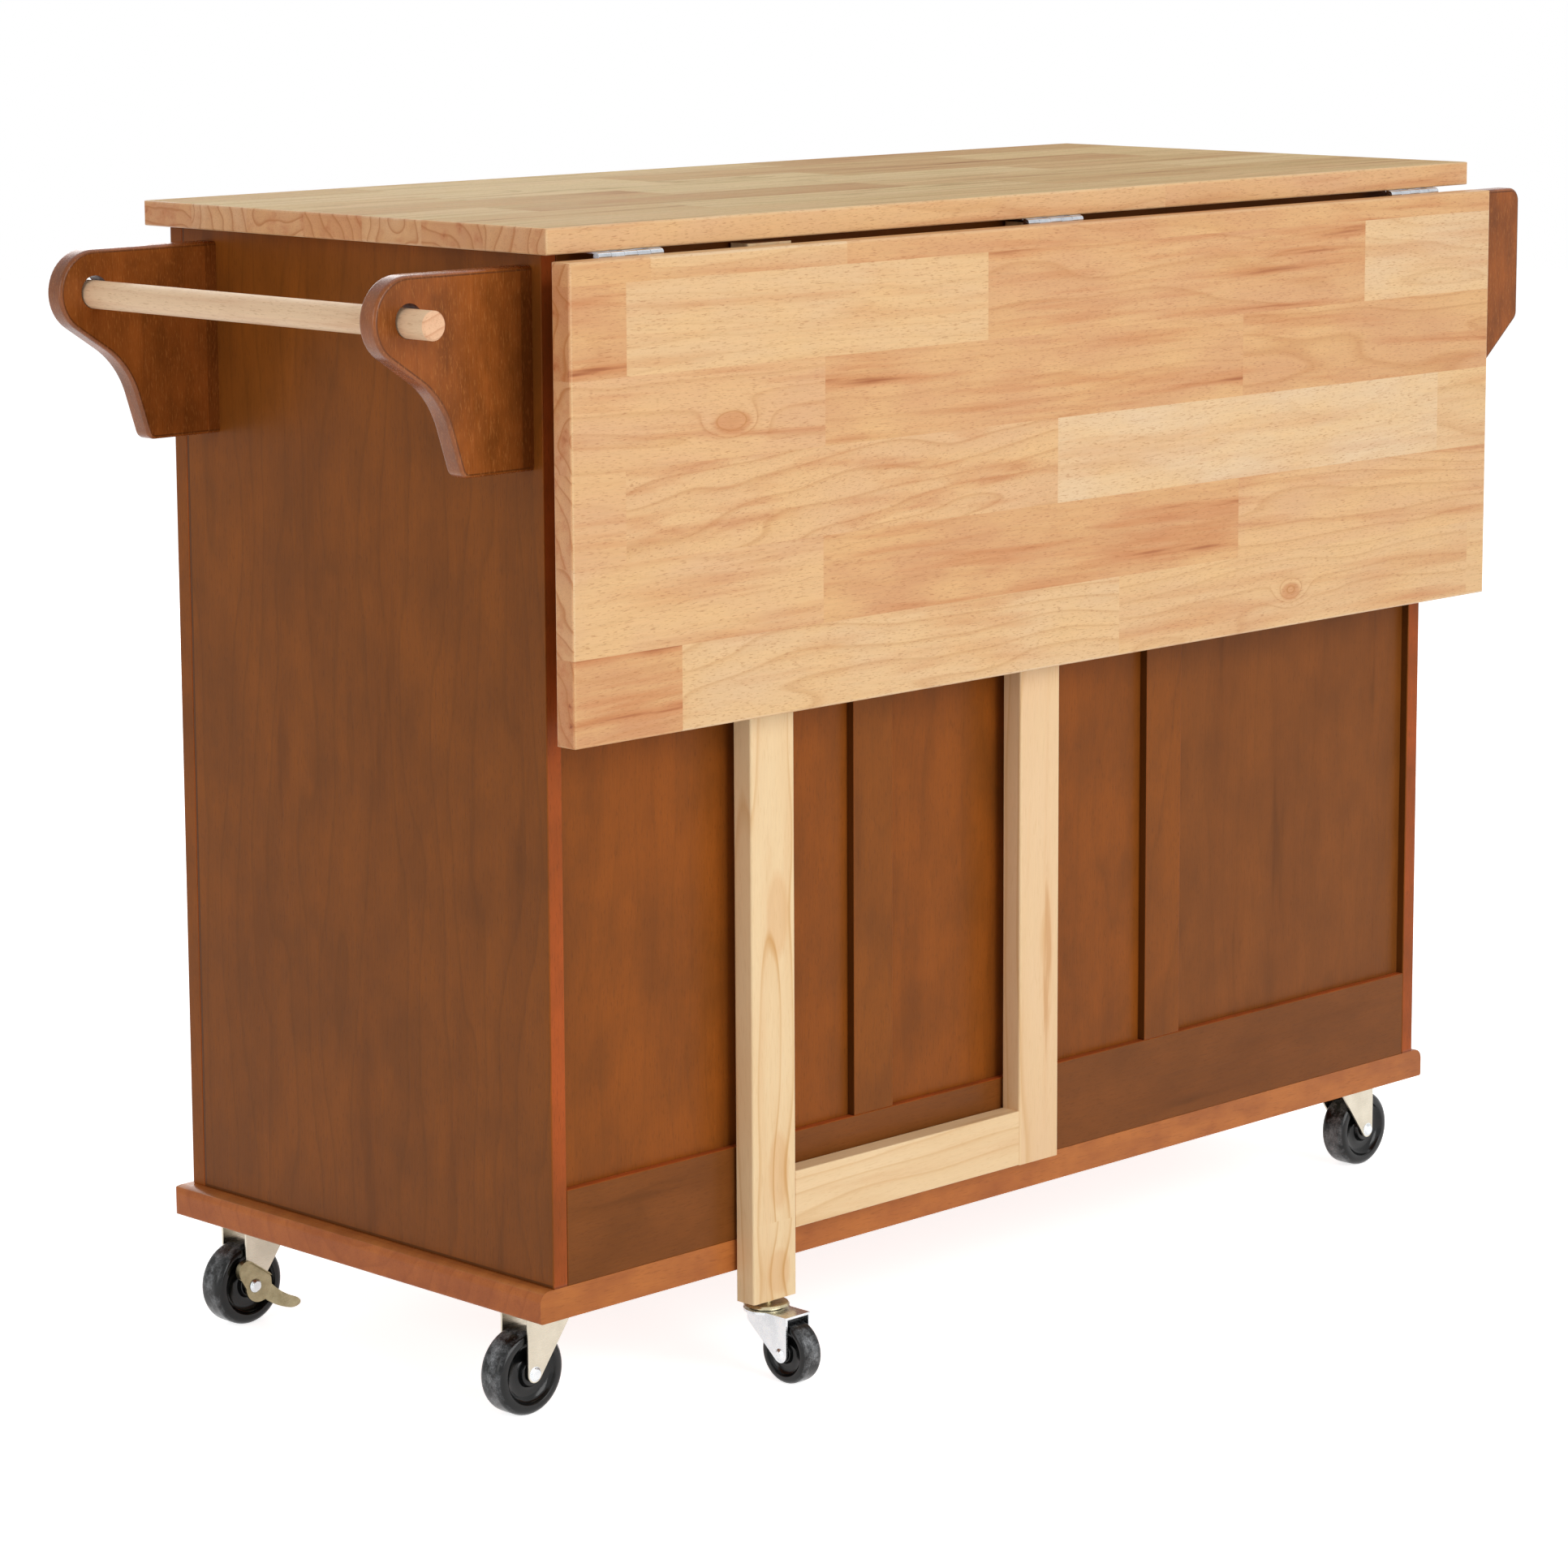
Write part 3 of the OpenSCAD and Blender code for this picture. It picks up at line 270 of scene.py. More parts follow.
# each screw stopped at its own turn, anywhere in about half a round
spin = add(screw_tree, "FunctionNodeRandomValue", Min=0.0, Max=3.1, Seed=7)
spin_turn = add(screw_tree, "FunctionNodeAxisAngleToRotation", Axis=(0, 0, 1), Angle=spin.outputs["Value"])
both_turns = add(screw_tree, "FunctionNodeRotateRotation", {"rotation_space": "LOCAL"},
                 Rotation=turned.outputs[0], Rotate_By=spin_turn.outputs[0])
placed = add(screw_tree, "GeometryNodeInstanceOnPoints", Points=given["Points"],
             Instance=cut_head.outputs[0], Rotation=both_turns.outputs[0])
real = add(screw_tree, "GeometryNodeRealizeInstances", Geometry=placed.outputs[0])
plated = add(screw_tree, "GeometryNodeSetMaterial", Geometry=real.outputs[0], Material=given["Plating"])
add(screw_tree, "NodeGroupOutput", Heads=plated.outputs[0])


def screws(name, body, plating, facing, places, radius, height):
    """Screw heads on the places, all facing one way, as one mesh on one body."""
    mesh = bpy.data.meshes.new(name + "_points")
    mesh.from_pydata(places, [], [])
    mesh.attributes.new("facing", "FLOAT_VECTOR", "POINT").data.foreach_set(
        "vector", list(facing) * len(places))
    points = bpy.data.objects.new(name + "_points", mesh)
    link(points)
    maker = points.modifiers.new("screws", "NODES")
    maker.node_group = screw_tree
    sockets = {s.name: s.identifier for s in screw_tree.interface.items_tree if s.in_out == "INPUT"}
    maker[sockets["Head radius"]] = radius
    maker[sockets["Head height"]] = height
    maker[sockets["Plating"]] = plating
    made = bpy.data.meshes.new_from_object(points.evaluated_get(bpy.context.evaluated_depsgraph_get()))
    bpy.data.objects.remove(points)
    made.name = name
    piece = bpy.data.objects.new(name, made)
    link(piece)
    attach(piece, body)


# the plates' middles and undersides, and how far out from the middle their screws are
plates_x, plates_y, plate_under = (-0.488, 0.488), (-0.1977, 0.1463), 0.0845
screw_out_x, screw_out_y = 0.027, 0.021
screws("caster_plate_screws", "cabinet", satin_nickel, (0, 0, -1),
       [(x + sx * screw_out_x, y + sy * screw_out_y, plate_under)
        for x in plates_x for y in plates_y for sx in (-1, 1) for sy in (-1, 1)],
       radius=0.0045, height=0.0016)


# ---- Body caster forks and brake levers ---------------------------------------------------------
# Swivel forks pressed from 2 mm steel with riveted axles, in warm satin nickel. The two front
# casters have a stamped brake lever on the axle, passivated to a dull olive.

# Yellow passivated zinc: olive grey with duller blotches.
olive_zinc = metal("passivated_zinc", "A3987A", "8A7F62", roughness=0.3, patch_mm=9, brush_mm=0.5,
                   bump=0.08)

# Bright zinc plate: cold, near white, with slightly duller clouds and a soft mirror.
zinc_plate = metal("bright_zinc_plate", "E4E7E9", "CDD2D6", roughness=0.24, patch_mm=16,
                   brush_mm=0.5, bump=0.05)


def second_finish(piece, material, chosen):
    """Gives a piece's chosen faces a second material."""
    piece.data.materials.append(material)
    for face in piece.data.polygons:
        face.material_index = int(chosen(face))


rivet_reach = 0.0065     # a rivet head lies within this of the axle
sheets_reach = 0.0162    # and further than this from the wheel's middle, past the fork's sheets


def bright_rivets(fork, wheel_node):
    """Zinc on the rivet heads that end a fork's axle outside its sheets."""
    lo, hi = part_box(wheel_node)
    axle = (lo + hi) / 2

    def rivet_head(face):
        off = face.center - axle
        return math.hypot(off.x, off.z) < rivet_reach and abs(off.y) > sheets_reach

    second_finish(fork, zinc_plate, rivet_head)


for end in ("front", "back"):
    for side in ("right", "left"):
        fork = steel_piece(f"{end}_{side}_fork", f"fork_{end}_{side}", satin_nickel,
                           f"{end}_{side}_caster", 0.0005)
        bright_rivets(fork, f"wheel_{end}_{side}")


def cut(bm, point, facing, faces=None):
    """Cuts the given faces, or all, by the plane through point that looks along facing."""
    if faces is None:
        parts = list(bm.verts) + list(bm.edges) + list(bm.faces)
    else:
        edges = dict.fromkeys(e for f in faces for e in f.edges)
        corners = dict.fromkeys(v for f in faces for v in f.verts)
        parts = [*faces, *edges, *corners]
    bmesh.ops.bisect_plane(bm, geom=parts, dist=1e-6, plane_co=point, plane_no=facing)


# the lever's tab runs down and inwards from the axle; it is bowed and narrows to its tip
tab_slope = math.radians(27)
tab_start, tab_length, tab_bow, tab_taper = 0.013, 0.033, 0.003, 0.4
tab_cuts, tab_step = 9, 0.003
for side, sign in (("right", 1), ("left", -1)):
    lo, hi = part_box(f"wheel_front_{side}")
    axle = (lo + hi) / 2
    run = Vector((-sign * math.cos(tab_slope), 0, -math.sin(tab_slope)))
    rise = Vector((-sign * math.sin(tab_slope), 0, math.cos(tab_slope)))
    bm = clean_copy(f"brake_lever_front_{side}")
    ease(bm, 0.0005, over=sheared)
    for k in range(tab_cuts):
        cut(bm, axle + run * (tab_start + tab_step * k), run)
    for vert in bm.verts:
        off = vert.co - axle
        share = (off.dot(run) - tab_start) / tab_length
        if share > 0:
            bow = -4 * tab_bow * share * (1 - share)
            vert.co += rise * (bow - tab_taper * share * off.dot(rise))
    finish_piece(f"{side}_brake_lever_plate", bm, olive_zinc, f"{side}_brake_lever",
                 (f"brake_lever_front_{side}",))


# ---- Wheels -------------------------------------------------------------------------------------
# Moulded black polypropylene wheels: a broad tread with round shoulders, a polished dish on each
# side and a hub on the axle. The tread is scuffed grey where it has rolled.

# Moulded polypropylene: near black and glossy off the mould, duller and grey on the tread.
black_plastic, tree = new_material("moulded_black_polypropylene")
place = add(tree, "ShaderNodeTexCoord").outputs["Object"]
wear_and_edge_highlight = add(tree, "ShaderNodeAttribute", {"attribute_name": "tread"}).outputs["Fac"]
broad = add(tree, "ShaderNodeTexNoise", Vector=place, Scale=70.0, Detail=5.0, Roughness=0.7)
fine = add(tree, "ShaderNodeTexNoise", Vector=place, Scale=900.0, Detail=3.0, Roughness=0.7)
patchy = add(tree, "ShaderNodeMapRange", i0=broad.outputs[0], i1=0.45, i2=0.66)
grainy = add(tree, "ShaderNodeMapRange", i0=fine.outputs[0], i1=0.35, i2=0.65, i3=0.3, i4=1.0)
scuff = add(tree, "ShaderNodeMath", multiply, i0=patchy.outputs[0], i1=grainy.outputs[0])
scuff = add(tree, "ShaderNodeMath", multiply, i0=scuff.outputs[0], i1=wear_and_edge_highlight)
base = add(tree, "ShaderNodeMix", {"data_type": "RGBA"}, i0=scuff.outputs[0], i6=colour("0F1010"),
           i7=colour("A8ABAE"))
gloss = add(tree, "ShaderNodeMapRange", i0=wear_and_edge_highlight, i3=0.14, i4=0.3)
relief = add(tree, "ShaderNodeBump", Strength=0.15, Distance=0.0004, Height=fine.outputs[0])
skin = add(tree, "ShaderNodeBsdfPrincipled", Base_Color=base.outputs[2], Roughness=gloss.outputs[0],
           IOR=1.49, Specular_IOR_Level=0.35, Normal=relief.outputs[0])
add(tree, "ShaderNodeOutputMaterial", Surface=skin.outputs[0])

# the dish: how far out as a share of the radius, and how deep as a share of the width
dish = ((0.32, 0.16), (0.36, 0.21), (0.44, 0.23), (0.54, 0.225), (0.62, 0.2), (0.68, 0.15), (0.715, 0.08))


def wheel(name, body, node, radius, width, bore):
    """Turns half a wheel's section about its axle, which lies along the node's thin side."""
    lo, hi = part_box(node)
    middle = (lo + hi) / 2
    axle = min((0, 1), key=lambda i: (hi - lo)[i])
    half = width / 2
    # from the axle out: the hub's face, the dish, the rim's inner edge and the round shoulder
    outer = [(bore, half), (radius * 0.27, half), (radius * 0.3, half - 0.0006)]
    outer += [(radius * share, half - width * deep) for share, deep in dish]
    outer += [(radius * 0.73, half - 0.0009), (radius * 0.745, half - 0.0002), (radius * 0.76, half)]
    shoulder = width * 0.24
    outer += [(radius - shoulder + shoulder * math.sin(a), half - shoulder + shoulder * math.cos(a))
              for a in [math.pi / 2 * k / 8 for k in range(9)]]
    loop = outer + [(radius, 0.0)] + [(r, -o) for r, o in reversed(outer)]
    bm = bmesh.new()
    tread = bm.verts.layers.float.new("tread")
    steps = 72
    rings = []
    for k in range(steps):
        a = 2 * math.pi * k / steps
        ring = []
        for r, off in loop:
            at = [0, 0, r * math.sin(a)]
            at[axle], at[1 - axle] = off, r * math.cos(a)
            vert = bm.verts.new(middle + Vector(at))
            vert[tread] = max(0.0, 1 - 0.7 * abs(off) / half) if r > radius - shoulder * 0.4 else 0.0
            ring.append(vert)
        rings.append(ring)
    for k in range(steps):
        here, there = rings[k], rings[(k + 1) % steps]
        for j in range(len(loop)):
            i = (j + 1) % len(loop)
            bm.faces.new((here[j], here[i], there[i], there[j]))
    bmesh.ops.recalc_face_normals(bm, faces=bm.faces)
    finish_piece(name, bm, black_plastic, body, (node,), 50)


for end in ("front", "back"):
    for side in ("right", "left"):
        wheel(f"{end}_{side}_wheel_tyre", f"{end}_{side}_wheel", f"wheel_{end}_{side}",
              radius=0.034, width=0.025, bore=0.00405)
wheel("gate_wheel_tyre", "gate_wheel", "gate_caster_wheel", radius=0.025, width=0.02, bore=0.00305)


# ---- Base board ---------------------------------------------------------------------------------
# One wide stained board under the cabinet, its upper edge rounded over by a router at the front
# and ends and left square along the back. Its edges took the stain redder than the panels.

def wood(name, tones, ring, pore, streak, cloud, fibre, gloss, shine):
    """Wood in the round. Corners carry where they lie in the log ("grain", in metres, along, across
    and through), their board's seed, tone and figure ("board") and how far off its knot is and
    whether it is end grain ("knot"), so faces, edges and ends agree. tones: pale to deep. ring: gap,
    tint, share, bend, rings about a knot. pore: tint, share, length, width. streak: tint, share,
    length, width, vein tint. cloud: tint, share, length, width. fibre: how much the tone varies
    from fibre to fibre. gloss: roughness. shine: specular level."""
    ring_gap, ring_tint, ring_share, ring_bend, knot_rings = ring
    pore_tint, pore_share, pore_length, pore_width = pore
    streak_tint, streak_share, streak_length, streak_width, vein_tint = streak
    cloud_tint, cloud_share, cloud_length, cloud_width = cloud
    made, tree = new_material(name)
    log = add(tree, "ShaderNodeAttribute", {"attribute_name": "grain"}).outputs["Vector"]
    seed, board_tone, figure = add(tree, "ShaderNodeSeparateXYZ", i0=add(
        tree, "ShaderNodeAttribute", {"attribute_name": "board"}).outputs["Vector"]).outputs
    knot = add(tree, "ShaderNodeAttribute", {"attribute_name": "knot"}).outputs["Vector"]
    end_grain = add(tree, "ShaderNodeSeparateXYZ", i0=knot).outputs[2]
    # each pattern's length and width; real fibres and pores are finer, and are drawn to show
    field = {}
    for key, along, across, detail in (
            ("bend", 0.3, 0.06, 1.5), ("cloud", cloud_length, cloud_width, 3.0),
            ("streak", streak_length, streak_width, 3.0), ("fibre", 0.028, 0.0012, 3.0),
            ("pore", pore_length, pore_width, 1.0)):
        scaled = add(tree, "ShaderNodeVectorMath", multiply, i0=log, i1=(1 / along, 1 / across, 1 / across))
        field[key] = add(tree, "ShaderNodeTexNoise", {"noise_dimensions": "4D"}, Vector=scaled.outputs[0],
                         W=seed, Scale=1.0, Detail=detail, Roughness=0.55).outputs
    # growth rings: distance from the heart of the log, bent slowly along the board
    shift = add(tree, "ShaderNodeVectorMath", {"operation": "MULTIPLY_ADD"}, i0=field["bend"]["Color"],
                i1=(0.0, ring_bend, ring_bend), i2=log)
    across_log = add(tree, "ShaderNodeVectorMath", multiply, i0=shift.outputs[0], i1=(0, 1, 1))
    heart = add(tree, "ShaderNodeVectorMath", {"operation": "LENGTH"}, i0=across_log.outputs[0])
    # the eye is 1 in the middle of a knot and fades to 0 round it, which pushes the rings out
    eye = add(tree, "ShaderNodeVectorMath", multiply, i0=knot, i1=(1, 1, 0)).outputs[0]
    eye = add(tree, "ShaderNodeVectorMath", {"operation": "DOT_PRODUCT"}, i0=eye, i1=eye)
    eye = add(tree, "ShaderNodeMath", multiply, i0=eye.outputs["Value"], i1=-1.0)
    eye = add(tree, "ShaderNodeMath", {"operation": "EXPONENT"}, i0=eye.outputs[0])
    grown = add(tree, "ShaderNodeMath", {"operation": "MULTIPLY_ADD"}, i0=eye.outputs[0],
                i1=ring_gap * knot_rings, i2=heart.outputs["Value"])
    turns = add(tree, "ShaderNodeMath", multiply, i0=grown.outputs[0], i1=1 / ring_gap)
    phase = add(tree, "ShaderNodeMath", {"operation": "FRACT"}, i0=turns.outputs[0])
    late = add(tree, "ShaderNodeValToRGB", {"stops": (
        (0.0, "505050"), (0.22, "000000"), (0.78, "8A8A8A"), (0.93, "FFFFFF"), (1.0, "505050"))},
        i0=phase.outputs[0])
    shown = add(tree, "ShaderNodeMath", {"operation": "ADD"}, i0=figure, i1=eye.outputs[0])
    shown = add(tree, "ShaderNodeMath", multiply, i0=shown.outputs[0], i1=ring_share)
    share = add(tree, "ShaderNodeMapRange", i0=end_grain, i3=shown.outputs[0],
                i4=min(0.9, ring_share * 1.3))
    late = add(tree, "ShaderNodeMath", multiply, i0=late.outputs[0], i1=share.outputs[0])
    tone = add(tree, "ShaderNodeValToRGB", {"stops": [
        (k / (len(tones) - 1), t) for k, t in enumerate(tones)]}, i0=board_tone)
    patch = add(tree, "ShaderNodeMapRange", i0=field["cloud"][0], i1=0.36, i2=0.66, i4=cloud_share)
    # streaks show more in the deeper boards, with a dark vein along the middle of the widest
    red = add(tree, "ShaderNodeMapRange", i0=field["streak"][0], i1=0.5, i2=0.72)
    depth = add(tree, "ShaderNodeMapRange", i0=board_tone, i3=streak_share * 0.4, i4=streak_share * 1.3)
    red = add(tree, "ShaderNodeMath", multiply, i0=red.outputs[0], i1=depth.outputs[0])
    deep = add(tree, "ShaderNodeMapRange", i0=board_tone, i1=0.35, i2=0.8, i4=0.8)
    vein = add(tree, "ShaderNodeMapRange", i0=field["streak"][0], i1=0.63, i2=0.7,
               i4=deep.outputs[0])
    hole = add(tree, "ShaderNodeMapRange", i0=field["pore"][0], i1=0.57, i2=0.7, i4=pore_share)
    core = add(tree, "ShaderNodeMapRange", i0=eye.outputs[0], i1=0.52, i2=0.7, i4=0.5)
    tint = tone.outputs[0]
    for part, hex_value in ((patch, cloud_tint), (core, streak_tint), (late, ring_tint),
                            (red, streak_tint), (vein, vein_tint), (hole, pore_tint)):
        tint = add(tree, "ShaderNodeMix", {"data_type": "RGBA"}, i0=part.outputs[0], i6=tint,
                   i7=colour(hex_value)).outputs[2]
    thread = add(tree, "ShaderNodeMapRange", i0=field["fibre"][0], i1=0.3, i2=0.7, i3=1 - fibre,
                 i4=1 + fibre)
    # end grain drinks more stain or oil, and is redder and darker for it
    tint = add(tree, "ShaderNodeMix", {"data_type": "RGBA", "blend_type": "MULTIPLY"}, i0=end_grain,
               i6=tint, i7=(0.97, 0.84, 0.8, 1)).outputs[2]
    tint = add(tree, "ShaderNodeVectorMath", {"operation": "SCALE"}, i0=tint, Scale=thread.outputs[0])
    dull = add(tree, "ShaderNodeMapRange", i0=field["fibre"][0], i1=0.3, i2=0.7, i3=gloss - 0.05,
               i4=gloss + 0.07)
    height = add(tree, "ShaderNodeMath", {"operation": "SUBTRACT"}, i0=field["fibre"][0],
                 i1=hole.outputs[0])
    relief = add(tree, "ShaderNodeBump", Strength=0.25, Distance=0.0003, Height=height.outputs[0])
    skin = add(tree, "ShaderNodeBsdfPrincipled", Base_Color=tint.outputs[0], Roughness=dull.outputs[0],
               IOR=1.45, Specular_IOR_Level=shine, Normal=relief.outputs[0])
    add(tree, "ShaderNodeOutputMaterial", Surface=skin.outputs[0])
    return made


eased_width = 0.0012    # a face narrower than this is an eased edge


def lay_grain(bm, faces, along, rng, tone, heart=None, lean=None, knots=(), figure=None):
    """Marks faces as one board cut from a log, its grain along an axis. heart is the log's middle,
    across and through from the board's own middle, and lean how it drifts from there along the
    board. knots are places on the board, each with its knot's length and width, and figure is how
    strongly the rings show. A face has its nearest knot."""
    layers = bm.loops.layers.float_vector
    grain, board, mark = [layers.get(key) or layers.new(key) for key in ("grain", "board", "knot")]
    corners = [v.co for f in faces for v in f.verts]
    lo = Vector([min(c[i] for c in corners) for i in range(3)])
    hi = Vector([max(c[i] for c in corners) for i in range(3)])
    wide, thin = sorted([i for i in range(3) if i != along], key=lambda i: lo[i] - hi[i])
    middle = (lo + hi) / 2
    width = hi[wide] - lo[wide]
    if not heart:
        heart = (rng.uniform(-0.7, 0.7) * max(width, 0.05),
                 rng.choice((-1, 1)) * rng.uniform(0.025, 0.09))
    if not lean:
        lean = (rng.uniform(-0.03, 0.03), rng.uniform(-0.02, 0.02))
    start = rng.uniform(0, 3)
    drawn = rng.uniform(0.15, 0.5)
    figure = drawn if figure is None else figure
    seed = rng.uniform(0, 40)
    for face in faces:
        # eased edges are painted paler, as a painted highlight along them
        longest = max(e.calc_length() for e in face.edges)
        wear_and_edge_highlight = face.calc_area() < longest * eased_width
        centre = face.calc_center_median()
        if knots:
            knot, knot_length, knot_width = min(knots, key=lambda k: abs(k[0][along] - centre[along]))
        for loop in face.loops:
            co = loop.vert.co
            run = co[along] - middle[along]
            loop[grain] = (run + start, co[wide] - middle[wide] - heart[0] + lean[0] * run,
                           co[thin] - middle[thin] - heart[1] + lean[1] * run)
            loop[board] = (seed, tone - 0.25 * wear_and_edge_highlight, figure)
            off = (9, 9)    # nine knots' sizes away, where none shows
            if knots:
                off = ((co[along] - knot[along]) / knot_length, (co[wide] - knot[wide]) / knot_width)
            loop[mark] = (*off, 1.0 if abs(face.normal[along]) > 0.7 else 0.0)


def solids(bm):
    """The faces of each separate solid, in the order of their lowest corners."""
    left, found = set(bm.faces), []
    while left:
        reach, group = [left.pop()], []
        while reach:
            face = reach.pop()
            group.append(face)
            for edge in face.edges:
                for other in edge.link_faces:
                    if other in left:
                        left.remove(other)
                        reach.append(other)
        found.append(group)

    def low_corner(group):
        corners = [v.co for f in group for v in f.verts]
        return tuple(round(min(co[i] for co in corners), 4) for i in range(3))

    return sorted(found, key=low_corner)


def board_piece(name, node, material, body, slot, along, tone, seed, width=0.0008, **grain):
    """A node of plain boards: edges eased, and each solid a board of its own, with its grain as
    lay_grain says."""
    bm = clean_copy(node)
    if width:
        ease(bm, width)
    rng = random.Random(seed)
    for faces in solids(bm):
        lay_grain(bm, faces, along, rng, tone + rng.uniform(-0.06, 0.06), **grain)
    finish_piece(name, bm, material, body, (node,))


# Poplar under a reddish brown satin stain: cloudy, with little grain left to see.
reddish_poplar = wood(
    "poplar_reddish_stain", ("C67C40", "BC7036", "AA602C"), ring=(0.02, "9A5628", 0.3, 0.03, 2),
    pore=("7E421B", 0.3, 0.009, 0.0009), streak=("94502A", 0.45, 0.12, 0.016, "7A4424"),
    cloud=("9E582C", 0.7, 0.045, 0.03), fibre=0.03, gloss=0.34, shine=0.22)
board_piece("base_board_eased", "base_board", reddish_poplar, "cabinet", "base_stain", 0, 0.4, 11,
            width=0)


# ---- Cabinet panels -----------------------------------------------------------------------------
# Stained veneered sides and dividers with upright grain, a thin back panel let in behind two
# battens and two rails, all glued and pinned. The sides' raw back edges took more red.

# Poplar veneer under a walnut brown satin stain: warm brown, blotched, with faint upright figure.
brown_poplar = wood(
    "poplar_walnut_stain", ("B65626", "985018", "8C4E1A", "7C4820", "56300F"),
    ring=(0.024, "6A3C14", 0.6, 0.13, 2), pore=("5A300F", 0.3, 0.006, 0.0008),
    streak=("6C3A12", 0.35, 0.25, 0.03, "5C3410"), cloud=("663A16", 0.5, 0.07, 0.045), fibre=0.05,
    gloss=0.34, shine=0.12)


def retone(bm, tone, chosen):
    """Gives the chosen faces another tone of the same stain, in which the rings are faint."""
    board = bm.loops.layers.float_vector["board"]
    for face in bm.faces:
        if chosen(face, face.calc_center_median()):
            for loop in face.loops:
                loop[board] = (loop[board].x, tone, 0.1)


def cut_at(bm, axis, *places, faces=None):
    """Cuts the given faces, or all, at places along an axis."""
    step = Vector([float(i == axis) for i in range(3)])
    for at in places:
        cut(bm, step * at, step, faces)


def between(faces, axis, low, high):
    """The faces whose middle lies between low and high along an axis."""
    return [f for f in faces if low < f.calc_center_median()[axis] < high]


long_edge = 0.2         # edges shorter than this stay square, such as the pin holes'
corner_shade_width = 0.003          # how wide the painted shade stands in a corner
recess_from = 0.1928    # the back panel's outer face
for side, seed in (("right", 21), ("left", 22)):
    bm = clean_copy(f"{side}_side_panel")
    lo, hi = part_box(f"{side}_side_panel")
    ease(bm, 0.0008, wanted=lambda e: e.calc_length() > long_edge)
    cut_at(bm, 1, lo.y + corner_shade_width, recess_from)
    cut_at(bm, 2, lo.z + corner_shade_width)
    lay_grain(bm, list(bm.faces), 2, random.Random(seed), 0.5, heart=(0.05, 0.03), figure=0.6)
    retone(bm, 0.05, lambda f, c: f.normal.y > 0.9)
    # painted shade: the faces are darker in strips in the corners against the face frame and base board, and
    # darkest on the inner faces in the back panel's recess
    retone(bm, 0.95, lambda f, c: abs(f.normal.x) > 0.9 and (c.z < lo.z + corner_shade_width or c.y < lo.y + corner_shade_width))
    retone(bm, 1.0, lambda f, c: f.normal.x * c.x < 0 and abs(f.normal.x) > 0.9 and c.y > recess_from)
    finish_piece(f"{side}_side_board", bm, brown_poplar, "cabinet", (f"{side}_side_panel",))
for name, along, tone, seed in (("dividers", 2, 0.55, 31), ("back_battens", 2, 0.45, 33),
                                ("back_rails", 0, 0.68, 34)):
    bm = clean_copy(name)
    ease(bm, 0.0008)
    rng = random.Random(seed)
    for faces in solids(bm):
        lay_grain(bm, faces, along, rng, tone + rng.uniform(-0.05, 0.05))
    if name != "dividers":
        # painted shade: the faces along X, which face into the recesses, are darkest; a painted highlight
        # makes the upper faces pale and red
        retone(bm, 1.0, lambda f, c: abs(f.normal.x) > 0.9)
        retone(bm, 0.0, lambda f, c: f.normal.z > 0.9)
    finish_piece(name + "_boards", bm, brown_poplar, "cabinet", (name,))
# three sheets of veneer meet behind the battens, the one at the spice rack's end the deepest
bm = clean_copy("back_panel")
far = 9.0    # past every edge
meets = (-0.178, 0.178)
cut_at(bm, 0, *meets)
rng = random.Random(32)
for low, high, tone in ((-far, meets[0], 0.6), (*meets, 0.38), (meets[1], far, 0.36)):
    lay_grain(bm, between(bm.faces, 0, low, high), 2, rng, tone, figure=0.3)
finish_piece("back_panel_veneer", bm, brown_poplar, "cabinet", ("back_panel",))


# ---- Face frame, shelves and runners ------------------------------------------------------------
# Solid stiles and rails doweled together at the front, adjustable shelves on steel pins, and
# plain pine runners screwed to the dividers for the drawers.

board_piece("face_frame_stiles", "face_stiles", brown_poplar, "cabinet", "dark_stain", 2, 0.45, 41)
board_piece("face_frame_rails", "face_rails", brown_poplar, "cabinet", "dark_stain", 0, 0.45, 42)
board_piece("shelf_boards", "shelves", brown_poplar, "cabinet", "dark_stain", 0, 0.5, 43)
# Zinc plate on steel pins and hinges: a cool grey, a little dulled.
hinge_zinc = metal("hinge_zinc_plate", "D3D6DB", "B9BDC3", roughness=0.2, patch_mm=12, brush_mm=0.5,
                   bump=0.03)
steel_piece("shelf_support_pins", "shelf_pins", hinge_zinc, "cabinet", 0.0004)

# Knotty pine under clear satin lacquer: creamy with sharp amber winter rings.
clear_pine = wood(
    "clear_lacquered_pine", ("F2D7AB", "F1D1A4", "E8C199"), ring=(0.0125, "D3A062", 0.8, 0.03, 0.6),
    pore=("D2A56C", 0.2, 0.012, 0.0009), streak=("E0B07C", 0.4, 0.2, 0.012, "D09C68"),
    cloud=("EAC898", 0.5, 0.1, 0.03), fibre=0.02, gloss=0.4, shine=0.3)
board_piece("runner_strips", "drawer_runners", clear_pine, "cabinet", "pine", 1, 0.6, 44)


# ---- Drawers ------------------------------------------------------------------------------------
# Three boxes of lacquered pine, each a bottom between four walls, that slide on the runners. A
# stained front is screwed on each from inside, and carries a turned satin nickel knob.

